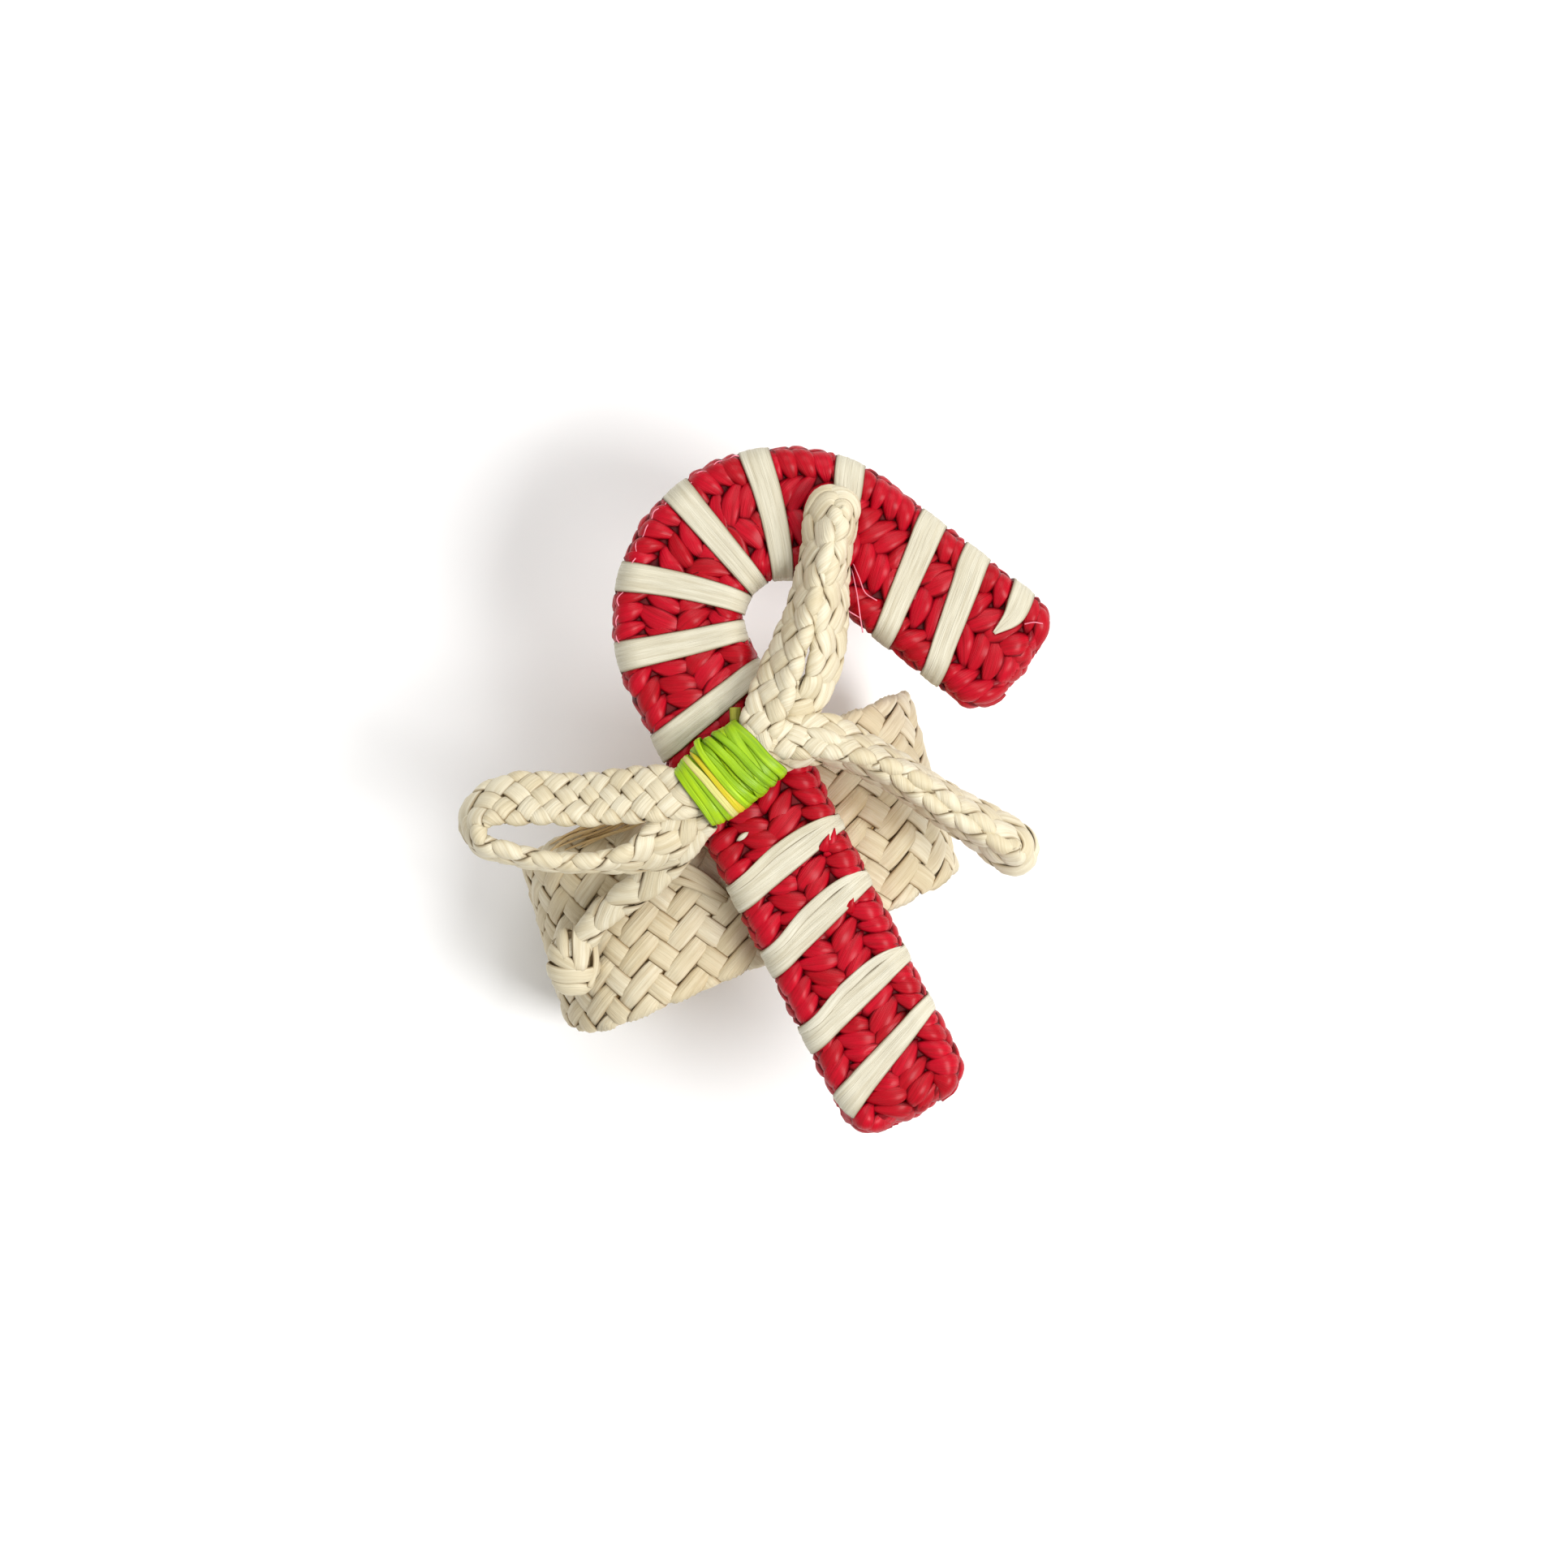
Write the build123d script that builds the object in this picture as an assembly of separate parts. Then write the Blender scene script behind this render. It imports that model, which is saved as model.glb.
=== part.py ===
from build123d import *
import math
import os

# Plaited palm napkin ring that carries a flat candy cane and a bow.
# Frame: the hoop rests on z = 0 and its axis runs along Y.  The cane lies on top of the hoop,
# its hook towards +Y.  The origin is the middle of the hoop's flat base.  Millimetres.

os.makedirs("parts", exist_ok=True)

# ---- hoop ---------------------------------------------------------------------------------
HOOP_WIDTH = 60.0
HOOP_HEIGHT = 34.0
HOOP_CORNER = 16.5
HOOP_WALL = 1.8
BAND_WIDTH = 27.0
BAND_SKEW = 0.135  # how far a rim creeps along Y for each millimetre along X

# ---- candy cane ---------------------------------------------------------------------------
CANE_WIDTH = 17.0
CANE_THICKNESS = 8.5
CANE_BACK = HOOP_HEIGHT + 0.5
CANE_FRONT = CANE_BACK + CANE_THICKNESS
CANE_MIDDLE = CANE_BACK + CANE_THICKNESS / 2
CANE_EDGE_ROUND = 2.8
CANE_END_ROUND = 4.5
PLAIT_THICKNESS = 2.4
HOOK_CENTRE = (15.4, 31.1)
HOOK_RADIUS = 14.6
HOOK_START_ANGLE = 191.2
HOOK_SWEEP = 154.8
SHAFT_LENGTH = 68.0
TIP_LENGTH = 29.5
HOOK_LENGTH = HOOK_RADIUS * math.radians(HOOK_SWEEP)

# ---- pale strip wound round the cane --------------------------------------------------------
STRIP_WIDTH = 4.0
STRIP_THICKNESS = 0.35
# Each turn crosses the front from the outer edge to the inner edge.  The pairs give where it
# leaves the outer edge and reaches the inner edge, measured along the cane from the shaft's end.
SHAFT_TURNS = ((5.5, 12.5), (15.5, 20.0), (27.0, 31.5), (37.0, 40.0))
HOOK_TURNS = (
    (60.0, 63.5),
    (71.5, 71.0),
    (78.5, 80.0),
    (87.5, 87.5),
    (95.0, 97.0),
    (103.5, 107.5),
    (115.0, 119.5),
    (122.5, 128.0),
    (131.0, 132.5),
)

# ---- bow and tie ------------------------------------------------------------------------------
TIE_CENTRE = (3.0, 13.3)
TIE_TURN_ANGLE = 21.7  # direction of the gathered plaits, from +X
TIE_TURNS = 6
TIE_TURN_WIDTH = 1.8
TIE_WALL = 0.5
TIE_GAP = 0.06
TIE_ROUND = 1.9
BUNCH_LENGTH = 11.8
BUNCH_DEPTH = 8.2
BUNCH_LOW = CANE_FRONT + 0.6
BUNCH_HEIGHT = 5.4
BOW_PLAIT = 1.4
JOIN_GAP = 0.05
OVER_STRIP = (6.6, 1.6, 0.3)
CUT_END = (1.7, 2.4, 0.5)

# Stations of each bow loop: the middle of the plait, how far its outer edge is lowered in
# degrees, and half its width.
LEFT_LOOP = (
    (-4.9, 12.1, 48.0, 8, 2.5),
    (-8.1, 13.0, 47.0, 18, 3.6),
    (-12.5, 13.9, 46.2, 28, 3.7),
    (-17.0, 14.6, 45.6, 33, 3.7),
    (-21.3, 16.0, 45.3, 36, 3.7),
    (-26.1, 17.3, 45.1, 34, 3.7),
    (-30.0, 17.5, 45.0, 48, 3.5),
    (-32.6, 16.0, 44.8, 64, 3.4),
    (-32.6, 13.1, 44.5, 76, 3.4),
    (-28.7, 10.2, 44.3, 80, 3.5),
    (-23.5, 7.7, 44.3, 84, 3.5),
    (-17.7, 6.0, 44.4, 82, 3.5),
    (-12.5, 5.6, 45.7, 50, 3.1),
    (-8.9, 6.6, 46.7, 22, 2.5),
    (-5.6, 8.3, 46.5, 12, 2.3),
)
RIGHT_LOOP = (
    (10.2, 13.8, 45.5, 18, 2.4),
    (12.5, 13.7, 45.4, 45, 3.1),
    (15.7, 12.8, 45.2, 62, 3.4),
    (19.2, 10.1, 44.6, 74, 3.5),
    (22.5, 7.0, 44.0, 78, 3.5),
    (25.5, 3.7, 43.4, 80, 3.5),
    (28.3, 0.2, 43.0, 80, 3.5),
    (30.9, -2.7, 42.8, 78, 3.5),
    (33.4, -5.4, 42.6, 74, 3.5),
    (35.6, -8.0, 42.5, 66, 3.4),
    (37.3, -8.9, 42.4, 60, 3.3),
    (38.1, -7.4, 42.4, 60, 3.3),
    (36.0, -4.1, 42.5, 66, 3.4),
    (33.0, -0.9, 42.6, 74, 3.5),
    (30.2, 2.1, 43.0, 78, 3.5),
    (27.7, 4.9, 43.5, 80, 3.5),
    (24.7, 8.0, 44.2, 76, 3.5),
    (21.0, 11.2, 45.4, 64, 3.4),
    (16.5, 14.1, 46.6, 34, 3.1),
    (12.4, 15.1, 47.3, 8, 2.3),
)
UPPER_LOOP = (
    (8.7, 18.5, 47.8, 12, 2.6),
    (11.7, 22.7, 47.9, 36, 3.1),
    (14.6, 26.8, 47.7, 50, 3.1),
    (17.6, 30.9, 47.6, 58, 3.1),
    (20.1, 35.1, 47.6, 60, 3.1),
    (22.4, 39.2, 47.7, 56, 3.1),
    (23.9, 42.4, 47.7, 46, 3.1),
    (25.3, 44.3, 47.6, 40, 2.6),
    (27.0, 43.5, 47.4, 52, 2.6),
    (26.5, 41.0, 47.3, 74, 2.9),
    (25.0, 38.0, 47.2, 76, 3.1),
    (22.9, 33.6, 47.1, 66, 3.2),
    (21.3, 29.3, 47.0, 58, 3.2),
    (19.6, 25.1, 46.8, 56, 3.1),
    (17.4, 21.4, 46.5, 52, 2.7),
    (14.6, 19.4, 46.3, 34, 2.2),
)

# ---- plaited tail ------------------------------------------------------------------------------
TAIL_DIAMETER = 3.0
TAIL_ROUTE = (
    (-2.6, 8.1, 44.9),
    (-6.2, 5.3, 43.2),
    (-11.6, 1.9, 39.9),
    (-16.6, 0.1, 37.2),
    (-21.8, -1.9, 34.9),
)
TAIL_RADII = (16.0, 28.0, 24.0)
KNOT_CENTRE = (-25.6, -6.4, 32.5)
KNOT_SIZE = (9.4, 6.4, 5.0)
KNOT_LENGTHWISE = (0.263, 0.941, 0.212)
KNOT_UPWARD = (-0.628, 0.0, 0.778)
KNOT_ROUND = 2.2


def cane_path():
    """Centre line of the cane in the XY plane, from the shaft's end to the hook's tip."""
    arc = CenterArc(HOOK_CENTRE, HOOK_RADIUS, HOOK_START_ANGLE, -HOOK_SWEEP)
    shaft_direction = -(arc % 0)
    shaft = Line(arc @ 0 + shaft_direction * SHAFT_LENGTH, arc @ 0)
    tip = Line(arc @ 1, arc @ 1 + (arc % 1) * TIP_LENGTH)
    return shaft, arc, tip


def cane_point(along, outward, height=0.0):
    """Point at a distance along the cane, outward from its centre line (inward is negative)."""
    shaft, arc, tip = cane_path()
    if along < SHAFT_LENGTH:
        curve, place = shaft, along / SHAFT_LENGTH
    elif along < SHAFT_LENGTH + HOOK_LENGTH:
        curve, place = arc, (along - SHAFT_LENGTH) / HOOK_LENGTH
    else:
        curve, place = tip, (along - SHAFT_LENGTH - HOOK_LENGTH) / TIP_LENGTH
    forward = curve % place
    left = Vector(-forward.Y, forward.X, 0)
    point = curve @ place + left * outward
    return Vector(point.X, point.Y, height)


def cane_body(grow):
    """The whole flat cane, thicker on every side by grow."""
    shaft, arc, tip = cane_path()
    start = shaft @ 0 - (shaft % 0) * grow
    end = tip @ 1 + (tip % 1) * grow
    reach = CANE_WIDTH / 2 + grow

    def side(outward):
        """One long edge of the outline."""
        near = start + Vector(-(shaft % 0).Y, (shaft % 0).X) * outward
        far = end + Vector(-(tip % 1).Y, (tip % 1).X) * outward
        bend = CenterArc(HOOK_CENTRE, HOOK_RADIUS + outward, HOOK_START_ANGLE, -HOOK_SWEEP)
        return [Line(near, bend @ 0), bend, Line(bend @ 1, far)]

    outer = side(reach)
    inner = side(-reach)
    edges = outer + inner + [Line(outer[0] @ 0, inner[0] @ 0), Line(outer[2] @ 1, inner[2] @ 1)]
    outline = make_face(edges)
    corners = [outer[0] @ 0, inner[0] @ 0, outer[2] @ 1, inner[2] @ 1]
    ends = [v for v in outline.vertices() if min((v.center() - c).length for c in corners) < 0.01]
    outline = fillet(ends, CANE_END_ROUND + grow)
    body = extrude(Pos(0, 0, CANE_BACK - grow) * outline, CANE_THICKNESS + 2 * grow)
    flat_faces = body.faces().filter_by(Axis.Z)
    return fillet(flat_faces.edges(), CANE_EDGE_ROUND + grow)


def inside_of_hook():
    """Block that holds everything on the inner side of the cane's centre line."""
    shaft, arc, tip = cane_path()
    before = shaft @ 0 - (shaft % 0) * 20
    beyond = tip @ 1 + (tip % 1) * 20
    corner = Vector(70, -70)
    edges = [Line(before, shaft @ 1), arc, Line(tip @ 0, beyond), Line(beyond, corner)]
    face = make_face(edges + [Line(corner, before)])
    return extrude(Pos(0, 0, CANE_BACK - 5) * face, CANE_THICKNESS + 10)


def above(height):
    """Large block above a height."""
    return Pos(0, 0, height + 50) * Box(300, 300, 100)


def crossing(start, end, low, high):
    """Straight slanted slab, one strip wide, from one edge point of the cane to the other."""
    direction = (end - start).normalized()
    middle = (start + end) / 2
    length = (end - start).length + 2.4
    plane = Plane(origin=(middle.X, middle.Y, low), x_dir=direction, z_dir=(0, 0, 1))
    return extrude(plane * Rectangle(length, STRIP_WIDTH), high - low)


def wound_strip(turns, skin):
    """One pale strip wound round the cane: across the front, and back behind to the next turn."""
    reach = CANE_WIDTH / 2
    slabs = []
    for number, (outer, inner) in enumerate(turns):
        outer_point = cane_point(outer, reach)
        inner_point = cane_point(inner, -reach)
        slabs.append(crossing(outer_point, inner_point, CANE_MIDDLE, CANE_FRONT + 2))
        if number + 1 < len(turns):
            next_outer = cane_point(turns[number + 1][0], reach)
            slabs.append(crossing(inner_point, next_outer, CANE_BACK - 2, CANE_MIDDLE))
    strip = Part()
    for slab in slabs:
        strip += skin & slab
    return strip


def plait_ribbon(stations, way):
    """Flat plait bent through its stations. Way is 1 where the loop turns left, -1 right."""
    sections = []
    for number, (x, y, z, lowered, half_width) in enumerate(stations):
        before = Vector(stations[max(number - 1, 0)][:3])
        after = Vector(stations[min(number + 1, len(stations) - 1)][:3])
        forward = (after - before).normalized()
        outward = forward.cross(Vector(0, 0, 1)).normalized() * way
        upward = outward.cross(forward) * way
        angle = math.radians(lowered)
        across = outward * math.cos(angle) - upward * math.sin(angle)
        plane = Plane(origin=(x, y, z), x_dir=across, z_dir=forward)
        sections.append(plane * Rectangle(2 * half_width, BOW_PLAIT))
    return loft(sections, ruled=True)


def tie_frame():
    """Frame of the tie: x along the gathered plaits, z up, origin on the cane's front."""
    direction = (math.cos(math.radians(TIE_TURN_ANGLE)), math.sin(math.radians(TIE_TURN_ANGLE)), 0)
    return Plane(origin=(*TIE_CENTRE, CANE_FRONT), x_dir=direction, z_dir=(0, 0, 1))


def hoop_band():
    """Skewed oval hoop of woven band."""
    outer = RectangleRounded(HOOP_WIDTH, HOOP_HEIGHT, HOOP_CORNER)
    inner_width = HOOP_WIDTH - 2 * HOOP_WALL
    inner_height = HOOP_HEIGHT - 2 * HOOP_WALL
    inner = RectangleRounded(inner_width, inner_height, HOOP_CORNER - HOOP_WALL)
    section = Plane.XZ * Pos(0, HOOP_HEIGHT / 2) * (outer - inner)
    tube = extrude(section, BAND_WIDTH, both=True)
    reach = HOOP_WIDTH
    creep = reach * BAND_SKEW
    half = BAND_WIDTH / 2
    rims = [(-reach, -half - creep), (reach, -half + creep)]
    rims += [(reach, half + creep), (-reach, half - creep)]
    slab = extrude(make_face(Polyline(*rims, close=True)), HOOP_HEIGHT)
    return tube & slab


def edge_stitches():
    """Stitches that close the seam round the outer edge, between the turns of the pale strip."""
    places = [turn[0] for turn in SHAFT_TURNS + HOOK_TURNS]
    stitches = []
    for before, after in zip(places, places[1:]):
        room = after - before - STRIP_WIDTH - 1.0
        count = int(room // 3.0)
        for number in range(count):
            along = before + STRIP_WIDTH / 2 + 0.5 + room * (number + 0.5) / count
            point = cane_point(along, CANE_WIDTH / 2 + 0.2, CANE_MIDDLE)
            ahead = cane_point(along + 0.5, CANE_WIDTH / 2 + 0.2, CANE_MIDDLE)
            plane = Plane(origin=point, x_dir=(ahead - point).normalized(), z_dir=(0, 0, 1))
            stitches.append(plane * Box(1.8, 0.3, 0.5))
    return Compound(children=stitches)


def mounting_stitches():
    """Stitches between the hoop's top and the cane's back."""
    stitches = []
    gap = CANE_BACK - HOOP_HEIGHT
    for number in range(4):
        for outward in (-3.0, 3.0):
            place = cane_point(42.5 + 3.2 * number, outward, HOOP_HEIGHT + gap / 2)
            stitches.append(Pos(place) * Cylinder(0.6, gap))
    return Compound(children=stitches)


def tie_turns():
    """Green strips wound side by side round the gathered plaits."""
    frame = tie_frame()
    low = BUNCH_LOW - CANE_FRONT - JOIN_GAP
    height = BUNCH_HEIGHT + 2 * JOIN_GAP
    depth = BUNCH_DEPTH + 2 * JOIN_GAP
    inner = RectangleRounded(depth, height, TIE_ROUND)
    outer = RectangleRounded(depth + 2 * TIE_WALL, height + 2 * TIE_WALL, TIE_ROUND + TIE_WALL)
    turns = []
    for number in range(TIE_TURNS):
        offset = (number - (TIE_TURNS - 1) / 2) * (TIE_TURN_WIDTH + TIE_GAP)
        section = Plane.YZ * Pos(0, low + height / 2) * (outer - inner)
        turn = extrude(section, TIE_TURN_WIDTH / 2, both=True)
        turns.append(frame.location * Pos(offset, 0, 0) * turn)
    return Compound(children=turns)


def bow_bunch():
    """Middle of the bow, where its plaits are gathered inside the tie."""
    middle = Plane.YZ * Pos(0, BUNCH_LOW - CANE_FRONT + BUNCH_HEIGHT / 2)
    section = middle * RectangleRounded(BUNCH_DEPTH, BUNCH_HEIGHT, TIE_ROUND)
    return tie_frame().location * extrude(section, BUNCH_LENGTH / 2, both=True)


def over_strip():
    """Last green strip, laid slantwise over the turns."""
    top = BUNCH_LOW - CANE_FRONT + BUNCH_HEIGHT + JOIN_GAP + TIE_WALL
    lift = top + JOIN_GAP + OVER_STRIP[2] / 2
    return tie_frame().location * Pos(-2.2, 0.4, lift) * Rot(0, 0, 80) * Box(*OVER_STRIP)


def cut_end():
    """Dry cut end of the green binding, lying on the cane beside the tie."""
    place = Pos(5.5, BUNCH_DEPTH / 2 + 2.2, BUNCH_LOW - CANE_FRONT)
    return tie_frame().location * place * Box(*CUT_END)


def tail_tube():
    """Plaited tail, from the tie down over the hoop's shoulder into its knot."""
    path = FilletPolyline(*TAIL_ROUTE, radius=list(TAIL_RADII))
    section = Plane(origin=path @ 0, z_dir=path % 0) * Circle(TAIL_DIAMETER / 2)
    tube = sweep(section, path=path)
    print("tail length", round(path.length, 2), "radii", TAIL_RADII)
    print("tail volume", round(tube.volume, 1), "from length", round(path.length * section.area, 1))
    return tube


def tail_knot():
    """Overhand knot at the tail's end."""
    block = Box(*KNOT_SIZE)
    block = fillet(block.edges(), KNOT_ROUND)
    return Plane(origin=KNOT_CENTRE, x_dir=KNOT_LENGTHWISE, z_dir=KNOT_UPWARD).location * block


def save(shape, name):
    """Write one sub-part."""
    export_step(shape, f"parts/{name}.step")


def build():
    """Make every sub-part and write it."""
    save(hoop_band(), "hoop_band")

    body = cane_body(0.0)
    cavity = cane_body(-PLAIT_THICKNESS)
    filler = cane_body(-PLAIT_THICKNESS - JOIN_GAP)
    shell = body - cavity
    inner_side = inside_of_hook()
    front = above(CANE_MIDDLE)
    front_half = shell & front
    back_half = shell - front
    save(front_half - inner_side, "cane_front_outer_plait")
    save(front_half & inner_side, "cane_front_inner_plait")
    save(back_half - inner_side, "cane_back_outer_plait")
    save(back_half & inner_side, "cane_back_inner_plait")
    save(filler, "cane_straw_filler")

    skin = cane_body(STRIP_THICKNESS) - body
    save(wound_strip(SHAFT_TURNS, skin), "shaft_stripe_strip")
    save(wound_strip(HOOK_TURNS, skin), "hook_stripe_strip")
    save(edge_stitches(), "cane_edge_stitches")
    save(mounting_stitches(), "mounting_stitches")

    save(bow_bunch(), "bow_bunch")
    save(tie_turns(), "tie_turns")
    save(over_strip(), "tie_over_strip")
    save(cut_end(), "tie_cut_end")
    save(plait_ribbon(LEFT_LOOP, 1), "bow_left_loop")
    save(plait_ribbon(RIGHT_LOOP, 1), "bow_right_loop")
    save(plait_ribbon(UPPER_LOOP, -1), "bow_upper_loop")
    save(tail_tube(), "bow_tail_plait")
    save(tail_knot(), "tail_knot")


build()
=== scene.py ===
import math

import bpy
import numpy as np
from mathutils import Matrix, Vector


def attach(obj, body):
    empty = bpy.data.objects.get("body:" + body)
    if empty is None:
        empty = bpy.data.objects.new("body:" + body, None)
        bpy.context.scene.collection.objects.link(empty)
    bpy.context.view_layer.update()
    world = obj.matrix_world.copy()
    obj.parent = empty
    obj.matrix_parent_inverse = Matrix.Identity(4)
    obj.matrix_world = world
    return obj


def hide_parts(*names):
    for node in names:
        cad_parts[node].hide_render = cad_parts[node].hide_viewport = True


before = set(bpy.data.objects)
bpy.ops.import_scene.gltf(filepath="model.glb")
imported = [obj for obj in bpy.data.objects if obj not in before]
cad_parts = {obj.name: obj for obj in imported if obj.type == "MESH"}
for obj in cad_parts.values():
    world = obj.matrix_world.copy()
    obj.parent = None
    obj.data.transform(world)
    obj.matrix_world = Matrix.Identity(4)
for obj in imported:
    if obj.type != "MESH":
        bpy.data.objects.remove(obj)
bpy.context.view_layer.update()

# Everything is worked out in millimetres in the CAD frame and becomes metres when a mesh is made.
MM = 0.001
UP = np.array([0.0, 0.0, 1.0])
rng = np.random.default_rng(24)

# ---- sizes that the CAD source gives, in millimetres ----
HOOP_HALF_FLAT = 13.5
HOOP_CORNER = 16.5
HOOP_MIDDLE_HEIGHT = 17.0
HOOP_SIDE_FLAT = 1.0
BAND_WIDTH = 27.0
BAND_SKEW = 0.135

CANE_WIDTH = 17.0
CANE_THICKNESS = 8.5
CANE_MIDDLE = 38.75
CANE_EDGE_ROUND = 2.8
CANE_END_ROUND = 4.5
HOOK_CENTRE = (15.4, 31.1)
HOOK_RADIUS = 14.6
HOOK_START_ANGLE = math.radians(191.2)
SHAFT_LENGTH = 68.0
HOOK_LENGTH = HOOK_RADIUS * math.radians(154.8)
CANE_LENGTH = SHAFT_LENGTH + HOOK_LENGTH + 29.5

SHAFT_TURNS = ((5.5, 12.5), (15.5, 20.0), (27.0, 31.5), (37.0, 40.0))
HOOK_TURNS = (
    (60.0, 63.5),
    (71.5, 71.0),
    (78.5, 80.0),
    (87.5, 87.5),
    (95.0, 97.0),
    (103.5, 107.5),
    (115.0, 119.5),
    (122.5, 128.0),
    (131.0, 132.5),
)

TIE_CENTRE = np.array([3.0, 13.3, 43.0])
TIE_ANGLE = math.radians(21.7)
BUNCH_LENGTH = 11.8
BUNCH_DEPTH = 8.2
BUNCH_HEIGHT = 5.4
BUNCH_LOW = 0.6

# Stations of the bow's plaits: the middle of the plait, how far its outer edge is lowered, in
# degrees, and half its width. They are the CAD source's, with ends that run on into the tie.
LEFT_LOOP = (
    (-0.6, 12.4, 47.0, 0, 2.0),
    (-3.8, 11.9, 47.3, 5, 2.9),
    (-8.1, 13.0, 47.0, 18, 3.6),
    (-12.5, 13.9, 46.2, 28, 3.7),
    (-17.0, 14.6, 45.6, 33, 3.7),
    (-21.3, 16.0, 45.3, 36, 3.7),
    (-26.1, 17.3, 45.1, 34, 3.7),
    (-30.0, 17.5, 45.0, 48, 3.5),
    (-32.6, 16.0, 44.8, 64, 3.4),
    (-32.6, 13.1, 44.5, 76, 3.4),
    (-28.7, 10.2, 44.3, 80, 3.5),
    (-23.5, 7.7, 44.3, 84, 3.5),
    (-17.7, 6.0, 44.4, 82, 3.5),
    (-12.5, 5.4, 44.9, 62, 3.3),
    (-8.9, 6.4, 45.5, 32, 3.1),
    (-4.8, 8.9, 45.7, 8, 2.6),
    (-1.0, 10.5, 45.6, 0, 2.0),
)
RIGHT_LOOP = (
    (5.4, 14.6, 45.4, 0, 2.0),
    (8.7, 14.3, 45.5, 10, 2.6),
    (12.5, 13.7, 45.4, 45, 3.1),
    (15.7, 12.8, 45.2, 62, 3.4),
    (19.2, 10.1, 44.6, 74, 3.5),
    (22.5, 7.0, 44.0, 78, 3.5),
    (25.5, 3.7, 43.4, 80, 3.5),
    (28.3, 0.2, 43.0, 80, 3.5),
    (30.9, -2.7, 42.8, 78, 3.5),
    (33.4, -5.4, 42.6, 74, 3.5),
    (35.6, -8.0, 42.5, 66, 3.4),
    (37.3, -8.9, 42.4, 60, 3.3),
    (38.1, -7.4, 42.4, 60, 3.3),
    (36.0, -4.1, 42.5, 66, 3.4),
    (33.0, -0.9, 42.6, 74, 3.5),
    (30.2, 2.1, 43.0, 78, 3.5),
    (27.7, 4.9, 43.5, 80, 3.5),
    (24.7, 8.0, 44.2, 76, 3.5),
    (21.0, 11.2, 45.4, 64, 3.4),
    (16.5, 14.1, 46.6, 34, 3.1),
    (11.4, 15.3, 47.1, 8, 2.6),
    (7.2, 15.4, 47.0, 0, 2.0),
)
UPPER_LOOP = (
    (6.0, 14.2, 47.0, 0, 1.9),
    (8.7, 18.5, 47.8, 12, 2.6),
    (11.7, 22.7, 47.9, 36, 3.1),
    (14.6, 26.8, 47.7, 50, 3.1),
    (17.6, 30.9, 47.6, 58, 3.1),
    (20.1, 35.1, 47.6, 60, 3.1),
    (22.4, 39.2, 47.7, 56, 3.1),
    (23.9, 42.4, 47.7, 46, 3.1),
    (25.3, 44.3, 47.6, 40, 2.6),
    (27.0, 43.5, 47.4, 52, 2.6),
    (26.5, 41.0, 47.3, 74, 2.9),
    (25.0, 38.0, 47.2, 76, 3.1),
    (22.9, 33.6, 47.1, 66, 3.2),
    (21.3, 29.3, 47.0, 58, 3.2),
    (19.6, 25.1, 46.8, 56, 3.1),
    (17.4, 21.4, 46.5, 52, 2.7),
    (13.2, 18.5, 46.2, 20, 2.5),
    (9.2, 16.2, 46.2, 0, 2.0),
)
TAIL_ROUTE = (
    (-2.6, 8.1, 44.9),
    (-6.2, 5.3, 43.2),
    (-11.6, 1.9, 39.9),
    (-16.6, 0.1, 37.2),
    (-21.8, -1.9, 34.9),
)
KNOT_CENTRE = (-25.6, -6.4, 32.5)
KNOT_LENGTHWISE = (0.263, 0.941, 0.212)


# ---- small helpers ----
def unit(vectors):
    """Vectors made one long."""
    length = np.linalg.norm(vectors, axis=-1, keepdims=True)
    return vectors / np.maximum(length, 1e-9)


def smooth(x):
    """Smooth step from 0 to 1."""
    x = np.clip(x, 0.0, 1.0)
    return x * x * (3.0 - 2.0 * x)


def distances(line):
    """Distance along a line to each of its points."""
    steps = np.linalg.norm(np.diff(line, axis=0), axis=1)
    return np.concatenate([[0.0], np.cumsum(steps)])


def through(places, count):
    """Smooth line through some places, as count rows spaced evenly along it.

    The first three columns give the line; any others are carried along."""
    places = np.array(places, float)
    knots = distances(places[:, :3])
    gaps = np.diff(knots)
    slopes = np.gradient(places, knots, axis=0)
    fine = np.linspace(0.0, knots[-1], count * 4)
    cell = np.clip(np.searchsorted(knots, fine, side="right") - 1, 0, len(knots) - 2)
    gap = gaps[cell][:, None]
    t = (fine - knots[cell])[:, None] / gap
    start, end = places[cell], places[cell + 1]
    leave, arrive = slopes[cell] * gap, slopes[cell + 1] * gap
    curve = (2 * t**3 - 3 * t**2 + 1) * start + (t**3 - 2 * t**2 + t) * leave
    curve += (3 * t**2 - 2 * t**3) * end + (t**3 - t**2) * arrive
    run = distances(curve[:, :3])
    even = np.linspace(0.0, run[-1], count)
    columns = [np.interp(even, run, curve[:, k]) for k in range(curve.shape[1])]
    return np.stack(columns, 1), even


def spread(values, count):
    """One value or a few, spread evenly over count stations."""
    values = np.atleast_1d(values)
    return np.interp(np.linspace(0, 1, count), np.linspace(0, 1, len(values)), values)


def column(values, count):
    """One value, or one for each station, as a column."""
    return np.broadcast_to(values, count)[:, None]


def square_to(first, second, stretched):
    """How much a skin's two coordinates change for each millimetre across a strip on it. The
    first coordinate's millimetres are stretched on the skin."""
    ahead, aside = np.gradient(first) * stretched, np.gradient(second)
    along = np.hypot(ahead, aside)
    return -aside / along / stretched, ahead / along


def put(name, data):
    """A new object in the scene."""
    thing = bpy.data.objects.new(name, data)
    bpy.context.scene.collection.objects.link(thing)
    return thing


# ---- strips of leaf ----
SECTION_FINE = (-1.0, -0.88, -0.62, -0.3, 0.0, 0.3, 0.62, 0.88, 1.0)
SECTION_PLAIN = (-1.0, -0.8, 0.0, 0.8, 1.0)
# How far each strip's fibre pattern is moved from the last one's.
FIBRE_SHIFT = 9.7


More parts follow.
